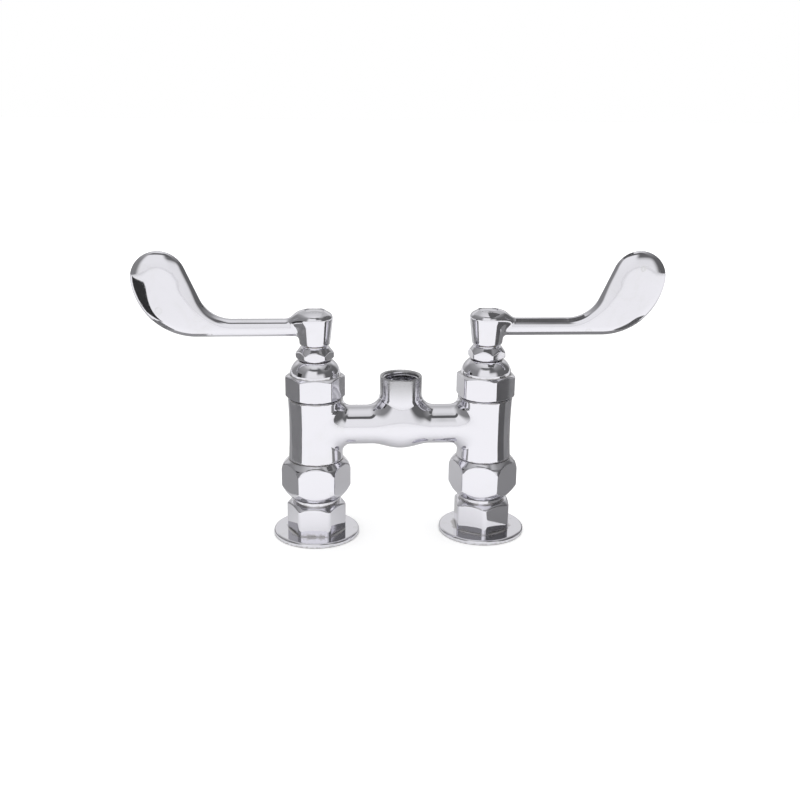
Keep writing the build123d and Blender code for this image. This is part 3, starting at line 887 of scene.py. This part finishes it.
def make_inlet(side):
    corners = [
        (gasket_outer_radius, 0.0, 0.0),
        (flange_radius, 0.0, 0.35),
        (flange_radius, flange_thickness, 1.35),
        (inlet_hex_round, flange_thickness, 0.0),
        (inlet_hex_round, inlet_hex_low, 0.0),
        (inlet_hex_round, inlet_hex_top - inlet_hex_chamfer, 0.8),
        (inlet_hex_top_radius, inlet_hex_top, 0.4),
        (inlet_neck_radius, inlet_hex_top, 0.25),
        (inlet_neck_radius, inlet_collar_low, 0.0),
        (inlet_collar_radius, inlet_collar_low, 0.2),
        (inlet_collar_radius, inlet_high, 0.2),
        (inlet_bore_radius, inlet_high, 0.2),
        (inlet_bore_radius, inlet_thread_depth, 0.0),
        (inlet_thread_root, inlet_thread_depth, 0.0),
        (inlet_thread_root, 0.0, 0.6),
        (gasket_inner_radius, 0.0, 0.0),
        (gasket_inner_radius, gasket_high, 0.0),
        (gasket_outer_radius, gasket_high, 0.0),
    ]
    cut = (flange_thickness + hex_cut_margin, inlet_hex_top + hex_cut_margin)
    return make_fitting(side, "inlet_flange", "flanged_inlet", corners, inlet_hex_flats, cut)


def make_coupling(side):
    corner = coupling_flats / 2 / cos(radians(30))
    corners = [
        (coupling_opening, nut_low, 0.2),
        (coupling_foot_radius, nut_low, 0.5),
        (corner, nut_low + coupling_foot_slope, 1.2),
        (corner, nut_high - coupling_head_slope, 2.5),
        (corner - coupling_shoulder_inset, nut_high - coupling_shoulder_drop, 4.0),
        (coupling_head_radius, nut_high, 0.5),
        (coupling_bore, nut_high, 0.15),
        (coupling_bore, nut_low + coupling_floor, 0.0),
        (coupling_opening, nut_low + coupling_floor, 0.0),
    ]
    return make_fitting(side, "union_nut", "coupling_nut", corners, coupling_flats)


def make_bonnet(side):
    middle = bonnet_dome_radius - bonnet_dome_round
    last = np.arcsin((bonnet_high - bonnet_hex_top) / bonnet_dome_round)
    dome = []
    for step in range(bonnet_dome_steps + 1):
        angle = last * step / bonnet_dome_steps
        height = bonnet_hex_top + bonnet_dome_round * sin(angle)
        dome.append((middle + bonnet_dome_round * cos(angle), height, 0.0))
    corners = [
        (bonnet_bore, bonnet_low, 0.2),
        (bonnet_flats / 2 - bonnet_edge_inset, bonnet_low, 0.3),
        (bonnet_round, bonnet_low + bonnet_edge_slope, 0.6),
        (bonnet_round, bonnet_hex_top - bonnet_edge_slope, 0.6),
        (bonnet_flats / 2 - bonnet_edge_inset, bonnet_hex_top, 0.3),
        *dome,
        (bonnet_neck_bore, bonnet_high, 0.2),
        (bonnet_neck_bore, sleeve_flange_top, 0.0),
        (bonnet_bore, sleeve_flange_top, 0.0),
    ]
    cut = (0.0, bonnet_hex_top + hex_cut_margin)
    return make_fitting(side, "bonnet_shell", "bonnet", corners, bonnet_flats, cut)


def make_packing_nut(side):
    corners = [
        (packing_bore, packing_low, 0.1),
        (packing_foot_radius, packing_low, 0.3),
        (packing_round, packing_low + packing_foot_chamfer, 0.8),
        (packing_round, packing_hex_top - packing_head_chamfer, 0.8),
        (packing_head_radius, packing_hex_top, 0.3),
        (packing_collar_radius, packing_hex_top, 0.1),
        (packing_collar_radius, packing_high, 0.25),
        (packing_stem_bore, packing_high, 0.2),
        (packing_stem_bore, packing_inner_top, 0.0),
        (packing_bore, packing_inner_top, 0.0),
    ]
    return make_fitting(side, "gland_nut", "packing_nut", corners, packing_flats, spacing=0.5)


def make_cap(side):
    """The domed cap that closes the hub, hollow underneath."""
    radius = hub_pocket_radius - cap_clearance
    rim = radius - cap_rim_inset
    rim_height = hub_crown_centre + sqrt(hub_crown_radius ** 2 - rim ** 2)
    corners = [
        (0.0, cap_high - cap_thickness, 0.0),
        (radius - cap_wall, cap_high - cap_thickness, 0.0),
        (radius - cap_wall, cap_low, 0.0),
        (radius, cap_low, 0.1),
        (radius, rim_height - cap_rim_drop, 0.2),
    ]
    for step in range(cap_steps + 1):
        r = rim * (cap_steps - step) / cap_steps
        corners.append((r, hub_crown_centre + sqrt(hub_crown_radius ** 2 - r ** 2), 0.0))
    piece = turned_piece(f"{side}_hub_cap", side, corners, finishes["chrome_handles"])
    return finished(piece, f"{side}_spindle", "chrome_handles", f"{side}_index_cap")


def make_threads():
    """Ridges of the outlet and inlet threads, which reach in to the bores of the record."""
    low = outlet_top - outlet_bore_depth + outlet_thread_low_gap
    high = outlet_top - outlet_thread_high_gap
    outlet = wound_thread("outlet_thread", 0.0, low, high, outlet_thread_root, outlet_bore)
    finished(outlet, "tap_body", "chrome_casting")
    low = inlet_thread_gap
    high = inlet_thread_depth - inlet_thread_gap
    for side in SIDES:
        name = f"{side}_inlet_thread"
        inlet = wound_thread(name, column_x[side], low, high, inlet_thread_root, inlet_thread_radius)
        finished(inlet, "tap_body", "chrome_fittings")


# Effects shared between finishes. Their sizes and the object's coordinates are in metres.


def shader_group(name, sizes, output):
    """A shader node group that works on a place, with named sizes and one named output."""
    return new_group(name, "ShaderNodeTree", {"Vector": VECTOR, **sizes}, output, FLOAT)


def covered(w, clouds, cover, softness):
    """The thick parts of a cloudy texture: more of them as cover goes from 0 to 1."""
    low = 0.75 - cover * 0.5
    return w.ramp(clouds, low, low + softness)


def off_column(w, given):
    """How far a place is from the axis of the nearer column, and how high it is."""
    x, y, z = w.split(given["Vector"])
    return w.distance(abs(x) - given["Column"], y), z


def smudge_group():
    """Cloudy film left by hands and drying, 0 clean to 1 dull."""
    tree, w, given = shader_group("smudges", {"Cloud Size": 0.02, "Cover": 0.4}, "Mask")
    scale = 1.0 / given["Cloud Size"]
    clouds = w.noise(given["Vector"], scale, detail=5.0, roughness=0.62, distortion=0.7)
    fine = w.noise(given["Vector"], scale * 9.0, detail=3.0)
    broken = w.ramp(fine, 0.3, 0.7, bottom=0.55, top=1.0)
    w.node("NodeGroupOutput", {"Mask": covered(w, clouds, given["Cover"], 0.25) * broken})
    return tree


def scratch_group():
    """Hairline scratches in two directions, 1 on a line."""
    tree, w, given = shader_group("hair_scratches", {"Line Width": 0.0001, "Cover": 0.3}, "Mask")
    lines = []
    for turn in ((0.4, 0.9, 0.2), (1.3, 0.3, 2.1)):
        drawn_out = {"Vector": given["Vector"], "Rotation": turn, "Scale": (0.02, 1.0, 1.0)}
        turned = w.value("ShaderNodeMapping", drawn_out)
        streaks = w.noise(turned, 0.35 / given["Line Width"], detail=1.0, distortion=0.15)
        lines.append(w.ramp(streaks, 0.68, 0.74))
    patches = w.noise(given["Vector"], 90.0, detail=1.0)
    where = covered(w, patches, given["Cover"], 0.15)
    w.node("NodeGroupOutput", {"Mask": w.math("MAXIMUM", *lines) * where})
    return tree


def drop_group():
    """Rims of dried water drops, here and there."""
    tree, w, given = shader_group("dried_drops", {"Drop Spacing": 0.008, "Cover": 0.3}, "Mask")
    wobble = w.values("ShaderNodeTexNoise", {"Vector": given["Vector"], "Scale": 600.0, "Detail": 1.0})
    uneven = {0: wobble["Color"], 1: (0.0004, 0.0004, 0.0004)}
    shift = w.value("ShaderNodeVectorMath", uneven, operation="MULTIPLY")
    moved = w.value("ShaderNodeVectorMath", {0: given["Vector"], 1: shift}, operation="ADD")
    spots = {"Vector": moved, "Scale": 1.0 / given["Drop Spacing"], "Randomness": 0.9}
    cells = w.values("ShaderNodeTexVoronoi", spots)
    chance, size, _ = w.values("ShaderNodeSeparateColor", {0: cells["Color"]}).values()
    rim = size * 0.16 + 0.08
    ring = w.ramp(abs(cells["Distance"] - rim), 0.012, 0.04, bottom=1.0, top=0.0)
    pool = w.ramp(cells["Distance"], rim * 0.8, rim, bottom=0.25, top=0.0)
    present = w.math("LESS_THAN", chance, given["Cover"])
    w.node("NodeGroupOutput", {"Mask": w.math("MAXIMUM", ring, pool) * present})
    return tree


def turning_group():
    """Fine rings that a lathe tool leaves about both columns, as a height from 0 to 1."""
    tree, w, given = shader_group("turning_lines", {"Column": 0.05, "Feed": 0.0003}, "Height")
    radius, z = off_column(w, given)
    lines = w.noise(w.vector(radius, 0.0, z), 1.0 / given["Feed"], detail=2.0, roughness=0.6)
    w.node("NodeGroupOutput", {"Height": lines})
    return tree


def seam_group():
    """Dirt and lime that gather in a ring about both columns, 1 in the seam."""
    sizes = {"Column": 0.05, "Seam Radius": 0.01, "Seam Height": 0.0, "Reach": 0.0008}
    tree, w, given = shader_group("seam_dirt", sizes, "Mask")
    radius, z = off_column(w, given)
    away = w.distance(radius - given["Seam Radius"], z - given["Seam Height"])
    crumbs = w.noise(given["Vector"], 400.0, detail=4.0)
    ragged = given["Reach"] * w.ramp(crumbs, 0.3, 0.7, bottom=0.3, top=1.7)
    w.node("NodeGroupOutput", {"Mask": w.ramp(away / ragged, 0.35, 1.0, bottom=1.0, top=0.0)})
    return tree


def grain_group():
    """Even fine grain, as a height from 0 to 1."""
    tree, w, given = shader_group("fine_grain", {"Grain Size": 0.0003}, "Height")
    grains = w.noise(given["Vector"], 1.0 / given["Grain Size"], detail=6.0, roughness=0.65)
    w.node("NodeGroupOutput", {"Height": grains})
    return tree


effects = {
    "smudge": smudge_group(),
    "scratch": scratch_group(),
    "drop": drop_group(),
    "turning": turning_group(),
    "seam": seam_group(),
    "grain": grain_group(),
}


# Finishes

chrome_colour = (0.825, 0.818, 0.865)
film_colour = (0.70, 0.70, 0.69, 1.0)
lime_colour = (0.40, 0.385, 0.36, 1.0)
# Dull machined metal in the bores, made darker to paint the shade there and at the outlet's top
bored_and_shaded_colour = (0.46, 0.46, 0.47, 1.0)
speck_colour = (0.52, 0.49, 0.44, 1.0)


class Finish(Wiring):
    """A material whose Principled shader is fed by the shared effects. Lengths are in metres."""

    def __init__(self, name, metallic, colour):
        self.material = bpy.data.materials.new(name)
        self.material.use_nodes = True
        super().__init__(self.material.node_tree)
        self.shader = self.tree.nodes["Principled BSDF"]
        self.shader.inputs["Metallic"].default_value = metallic
        self.colour = (*colour, 1.0)
        self.place = self.value("ShaderNodeTexCoord", output="Object")

    def effect(self, kind, **sizes):
        """The mask or height of a shared effect, with sizes named as its inputs are."""
        inputs = {"Vector": self.place}
        for label, value in sizes.items():
            inputs[label.replace("_", " ").title()] = value
        return self.value("ShaderNodeGroup", inputs, node_tree=effects[kind])

    def wear(self, film, scratches, drops):
        """Masks of the film, scratches and drops on polished metal, from pairs of size and cover."""
        return (
            self.effect("smudge", cloud_size=film[0], cover=film[1]),
            self.effect("scratch", line_width=scratches[0], cover=scratches[1]),
            self.effect("drop", drop_spacing=drops[0], cover=drops[1]),
        )

    def lathe_rings(self, feed):
        return self.effect("turning", column=half_centres * MM, feed=feed)

    def seams(self, rings):
        """Dirt in several rings of (radius, height, reach) in millimetres."""
        mask = 0.0
        for radius, height, reach in rings:
            sizes = {"seam_radius": radius * MM, "seam_height": height * MM, "reach": reach * MM}
            mask = self.math("MAXIMUM", mask, self.effect("seam", column=half_centres * MM, **sizes))
        return mask

    def relief(self, height, depth, normal=None):
        inputs = {"Height": height, "Distance": depth, "Strength": 1.0}
        if normal:
            inputs["Normal"] = normal
        return self.value("ShaderNodeBump", inputs)

    def close(self, colour, roughness, normal):
        self.feed(self.shader.inputs["Base Color"], colour)
        self.feed(self.shader.inputs["Roughness"], roughness)
        self.feed(self.shader.inputs["Normal"], normal)
        return self.material


# Relief of the wear on polished metal in metres, of which scratches and drops each take a part
wear_depth = 0.000012


def plated_casting():
    """Chrome over a polished casting: soft ripples under a bright skin, and machined metal inside, darkened with
    painted shade. The outlet's top also gets painted shade.
    """
    f = Finish("chrome_casting", 1.0, chrome_colour)
    film, scratches, drops = f.wear((0.022, 0.42), (0.00012, 0.45), (0.009, 0.16))
    dirt = f.seams([(column_foot_radius, column_foot, 0.8), (column_head_radius, column_head, 0.8)])
    dull = f.value("ShaderNodeAttribute", output="Fac", attribute_name="dullness_and_shade")
    grain = f.effect("grain", grain_size=0.0004)
    colour = f.mix(film * 0.35, f.colour, film_colour)
    colour = f.mix(drops * 0.35, colour, film_colour)
    colour = f.mix(dirt * 0.55, colour, lime_colour)
    # Painted shade over dull bore metal: the mask darkens the chrome to a flat grey
    colour = f.mix(dull, colour, bored_and_shaded_colour)
    roughness = film * 0.07 + scratches * 0.06 + drops * 0.14 + dirt * 0.3 + dull * 0.3 + 0.035
    ripples = f.relief(f.noise(f.place, 55.0, detail=1.0), 0.00016)
    skin = f.relief(f.noise(f.place, 420.0, detail=2.0), 0.000006, ripples)
    normal = f.relief(drops * 0.4 - scratches * 0.3 + grain * dull, wear_depth, skin)
    return f.close(colour, roughness, normal)


def plated_fittings():
    """Chrome over turned and milled bar: fine rings from the lathe, crisp and bright."""
    f = Finish("chrome_fittings", 1.0, chrome_colour)
    film, scratches, drops = f.wear((0.015, 0.38), (0.0001, 0.5), (0.007, 0.2))
    rings = f.lathe_rings(0.00035)
    dirt = f.seams(
        [
            (flange_radius, 0.0, 1.3),
            (inlet_hex_round - 1.2, flange_thickness, 1.9),
            (inlet_neck_radius, inlet_hex_top, 1.2),
            (inlet_neck_radius, nut_low, 1.2),
            (column_foot_radius, nut_high, 0.7),
            (column_head_radius, bonnet_low, 0.7),
            (bonnet_dome_radius, bonnet_hex_top, 0.7),
            (packing_round - 2.0, packing_low, 0.9),
        ]
    )
    colour = f.mix(film * 0.35, f.colour, film_colour)
    colour = f.mix(drops * 0.4, colour, film_colour)
    colour = f.mix(dirt * 0.5, colour, lime_colour)
    roughness = film * 0.06 + scratches * 0.06 + drops * 0.15 + dirt * 0.25 + rings * 0.02 + 0.04
    normal = f.relief(drops * 0.4 - scratches * 0.3, wear_depth, f.relief(rings, 0.0000035))
    return f.close(colour, roughness, normal)


def plated_handles():
    """Chrome over buffed forgings: fingerprints and fine wiping marks."""
    f = Finish("chrome_handles", 1.0, chrome_colour)
    film, scratches, drops = f.wear((0.018, 0.5), (0.00012, 0.6), (0.01, 0.1))
    prints = f.effect("smudge", cloud_size=0.006, cover=0.3)
    colour = f.mix(f.math("MAXIMUM", film, prints) * 0.32, f.colour, film_colour)
    colour = f.mix(drops * 0.4, colour, film_colour)
    roughness = film * 0.06 + prints * 0.07 + scratches * 0.07 + drops * 0.12 + 0.065
    buffing = f.relief(f.noise(f.place, 70.0, detail=1.0), 0.0001)
    normal = f.relief(drops * 0.4 - scratches * 0.3, wear_depth, buffing)
    return f.close(colour, roughness, normal)


# Bright colour, tarnished colour, feed of the lathe in metres and roughness where it is clean
bare_metals = {
    "cartridge_brass": ((0.80, 0.60, 0.30), (0.45, 0.30, 0.14), 0.0004, 0.2),
    "stainless_screw": ((0.66, 0.66, 0.65), (0.50, 0.49, 0.47), 0.0003, 0.22),
}


def turned_metal(name, bright, dull, feed, clean):
    """Bare turned metal with lathe rings and patches of tarnish."""
    f = Finish(name, 1.0, bright)
    tarnish = f.effect("smudge", cloud_size=0.006, cover=0.6)
    rings = f.lathe_rings(feed)
    scratches = f.effect("scratch", line_width=0.00008, cover=0.5)
    colour = f.mix(tarnish * 0.6, f.colour, (*dull, 1.0))
    roughness = tarnish * 0.18 + rings * 0.12 + scratches * 0.1 + clean
    return f.close(colour, roughness, f.relief(rings - scratches * 0.4, 0.00001))


# Colour, colour of the bloom, grain and depth of grain in metres, and roughness where it is clean
soft_parts = {
    "black_rubber": ((0.022, 0.022, 0.022), (0.07, 0.07, 0.068), 0.0003, 0.00002, 0.5),
    "grey_fibre": ((0.21, 0.21, 0.20), (0.34, 0.33, 0.31), 0.0005, 0.00005, 0.7),
    "slippery_plastic": ((0.84, 0.84, 0.81), (0.72, 0.71, 0.67), 0.0006, 0.00001, 0.28),
}


def moulded(name, body, bloom, grain, depth, clean):
    """Rubber, fibre or plastic: a grainy skin with a pale bloom."""
    f = Finish(name, 0.0, body)
    patches = f.effect("smudge", cloud_size=0.008, cover=0.5)
    fine = f.effect("grain", grain_size=grain)
    scratches = f.effect("scratch", line_width=0.00012, cover=0.4)
    colour = f.mix(patches * 0.6, f.colour, (*bloom, 1.0))
    colour = f.mix(fine * 0.25, colour, (*bloom, 1.0))
    roughness = patches * 0.12 + fine * 0.15 - scratches * 0.08 + clean
    return f.close(colour, roughness, f.relief(fine - scratches * 0.3, depth))


def lapped_ceramic():
    """Alumina: off white with darker specks, its faces lapped smooth."""
    f = Finish("disc_ceramic", 0.0, (0.83, 0.82, 0.78))
    grain = f.effect("grain", grain_size=0.00015)
    specks = f.ramp(grain, 0.62, 0.72)
    colour = f.mix(specks * 0.5, f.colour, speck_colour)
    roughness = f.lathe_rings(0.0006) * 0.12 + specks * 0.15 + 0.16
    return f.close(colour, roughness, f.relief(grain, 0.000004))


# Studio

# To the camera it is white all round. Metal sees a grey room that is lighter in front, a floor
# that is darker behind the tap, and boards beside and above it that nothing else sees.

floor_half = 4000.0
floor_level = 0.86
floor_behind = 0.52
behind_far_share = 0.3
floor_glow = 0.13
floor_glow_far = 0.32
floor_glow_to_camera = 0.27

# Each board's grey level and its corners in millimetres
boards = {
    "left_flag": (0.30, [(-185, -80, 0), (-240, 320, 0), (-240, 320, 70), (-185, -80, 70)]),
    "right_flag": (0.32, [(198, -10, 0), (240, 320, 0), (240, 320, 70), (198, -10, 70)]),
    "dark_flag": (0.15, [(185, -100, 0), (198, -10, 0), (198, -10, 90), (185, -100, 90)]),
    "near_card": (0.05, [(-163, -64, 92), (-206, -20, 92), (-206, -20, 156), (-163, -64, 142)]),
    "right_top_card": (0.14, [(62, -70, 260), (62, 70, 260), (128, 70, 260), (128, -70, 260)]),
    "right_floor_card": (0.24, [(78, -70, 0.5), (260, -70, 0.5), (260, 200, 0.5), (78, 200, 0.5)]),
    "left_floor_card": (0.30, [(-125, -60, 0.5), (-125, 200, 0.5), (-260, 200, 0.5), (-260, -60, 0.5)]),
}

# Level of the room by the sine of the height angle, for each side that metal may face
room_front = [
    (0.0, 0.9), (0.3, 0.93), (0.6, 0.93), (0.73, 0.9),
    (0.76, 0.12), (0.885, 0.12), (0.905, 0.7), (1.0, 0.85),
]
room_front_right = [
    (0.0, 0.9), (0.3, 0.85), (0.42, 0.6), (0.52, 0.16),
    (0.89, 0.12), (0.92, 0.4), (1.0, 0.7),
]
room_left = [(0.0, 0.24), (0.5, 0.26), (0.8, 0.38), (1.0, 0.85)]
room_right = [(0.0, 0.13), (0.5, 0.14), (0.8, 0.3), (1.0, 0.85)]
room_back = [(0.0, 0.45), (0.3, 0.64), (0.37, 0.76), (0.47, 0.76), (0.55, 0.55), (0.8, 0.55), (1.0, 0.87)]

lamp_power = 22.0
lamp_size = 2.0
lamp_place = (0.0, 0.1, 1.5)


def grey(level):
    return level, level, level, 1.0


def stage_quad(name, corners, level, seen_by_all):
    """A flat matt board of the studio."""
    mesh = bpy.data.meshes.new(name)
    mesh.from_pydata([tuple(v * MM for v in corner) for corner in corners], [], [(0, 1, 2, 3)])
    board = linked(name, mesh)
    material = bpy.data.materials.new(name)
    material.use_nodes = True
    shader = material.node_tree.nodes["Principled BSDF"]
    shader.inputs["Base Color"].default_value = grey(level)
    shader.inputs["Roughness"].default_value = 1.0
    shader.inputs["Specular IOR Level"].default_value = 0.0
    mesh.materials.append(material)
    if not seen_by_all:
        board.visible_camera = False
        board.visible_diffuse = False
        board.visible_shadow = False
    return Wiring(material.node_tree), shader


def light_floor():
    """White to the camera; metal sees it turn grey behind the tap. Ramps go by metres from the tap."""
    size = floor_half
    corners = [(-size, -size, 0), (size, -size, 0), (size, size, 0), (-size, size, 0)]
    w, shader = stage_quad("floor", corners, floor_level, True)
    path = w.values("ShaderNodeLightPath")
    x, y, _ = w.split(w.value("ShaderNodeTexCoord", output="Object"))
    away = w.distance(x, y)
    near_by = w.ramp(away, 0.25, 0.6, 1.0, behind_far_share)
    behind = w.ramp(y, -0.05, 0.05) * near_by * path["Is Glossy Ray"]
    w.feed(shader.inputs["Base Color"], w.mix(behind, grey(floor_level), grey(floor_behind)))
    mirrored = w.math("MAXIMUM", path["Is Glossy Ray"], path["Is Transmission Ray"]) * (1.0 - behind)
    to_camera = path["Is Camera Ray"] * w.ramp(away, 0.4, 1.2, floor_glow_to_camera, 1.0)
    glow = mirrored * w.ramp(away, 0.5, 1.5, floor_glow, floor_glow_far) + to_camera
    w.feed(shader.inputs["Emission Color"], w.vector(glow, glow, glow))
    shader.inputs["Emission Strength"].default_value = 1.0


def room_levels(w, height, stops):
    """The room's grey from floor to ceiling, by stops of place and level."""
    ramp = w.node("ShaderNodeValToRGB", {"Fac": height})
    marks = ramp.color_ramp.elements
    while len(marks) < len(stops):
        marks.new(0.5)
    for mark, (place, level) in zip(marks, stops):
        mark.position = place
        mark.color = grey(level)
    return Value(w, ramp.outputs["Color"])


def light_tent():
    """White to the camera, and the grey room for everything else."""
    world = bpy.data.worlds.new("light_tent")
    world.use_nodes = True
    bpy.context.scene.world = world
    w = Wiring(world.node_tree)
    x, y, z = w.split(w.value("ShaderNodeTexCoord", output="Generated"))
    flat = w.math("SQRT", w.math("MAXIMUM", 1.0 - z * z, SAME_PLACE))
    forward = y * -1.0 / flat
    sides = w.mix(w.ramp(x, -0.1, 0.6), room_levels(w, z, room_left), room_levels(w, z, room_right))
    just_right = w.ramp(x, 0.04, 0.24)
    front = w.mix(just_right, room_levels(w, z, room_front), room_levels(w, z, room_front_right))
    colour = w.mix(w.ramp(forward, 0.62, 0.85), sides, front)
    colour = w.mix(w.ramp(forward, -0.55, -0.85), colour, room_levels(w, z, room_back))
    room = world.node_tree.nodes["Background"]
    w.feed(room.inputs["Color"], colour)
    grey_room = Value(w, room.outputs[0])
    white = w.value("ShaderNodeBackground", {"Color": grey(1.0), "Strength": 1.0})
    camera_ray = w.value("ShaderNodeLightPath", output="Is Camera Ray")
    lit = w.value("ShaderNodeMixShader", {0: camera_ray, 1: grey_room, 2: white})
    w.feed(world.node_tree.nodes["World Output"].inputs["Surface"], lit)


def overhead_lamp():
    light = bpy.data.lights.new("overhead", "AREA")
    light.shape = "SQUARE"
    light.size = lamp_size
    light.energy = lamp_power
    holder = linked("overhead", light)
    holder.location = lamp_place
    holder.visible_glossy = False


# Camera, fitted to the photograph

camera_azimuth = radians(-4.28)
camera_elevation = radians(17.5)
camera_distance = 0.668
camera_target = Vector((-0.0004, 0.0, 0.0842))
camera_roll = radians(0.74)
camera_lens = 50.3


def place_camera():
    data = bpy.data.cameras.new("camera")
    data.lens = camera_lens
    data.sensor_width = 36.0
    data.sensor_fit = "HORIZONTAL"
    data.clip_start = 0.01
    camera = linked("camera", data)
    level = cos(camera_elevation)
    away = Vector((sin(camera_azimuth) * level, -cos(camera_azimuth) * level, sin(camera_elevation)))
    camera.location = camera_target + away * camera_distance
    look = (-away).to_track_quat("-Z", "Y")
    camera.rotation_mode = "QUATERNION"
    camera.rotation_quaternion = look @ Quaternion((0, 0, 1), camera_roll)
    bpy.context.scene.camera = camera


# The whole scene

place_camera()
light_tent()
light_floor()
overhead_lamp()
for name, (level, corners) in boards.items():
    stage_quad(name, corners, level, False)

finishes = {
    "chrome_casting": plated_casting(),
    "chrome_fittings": plated_fittings(),
    "chrome_handles": plated_handles(),
}
for name, look in bare_metals.items():
    finishes[name] = turned_metal(name, *look)
for name, look in soft_parts.items():
    finishes[name] = moulded(name, *look)
finishes["disc_ceramic"] = lapped_ceramic()

make_casting()
make_handles()
for side in SIDES:
    make_inlet(side)
    make_coupling(side)
    make_bonnet(side)
    make_packing_nut(side)
    make_cap(side)
make_threads()

slot_of = {piece["node"]: piece["material_slot"] for piece in frame["record"]["subparts"]}
for name, node in frame["nodes"].items():
    node.data.materials.clear()
    node.data.materials.append(finishes[slot_of[name]])

bpy.context.scene.view_settings.view_transform = "Standard"
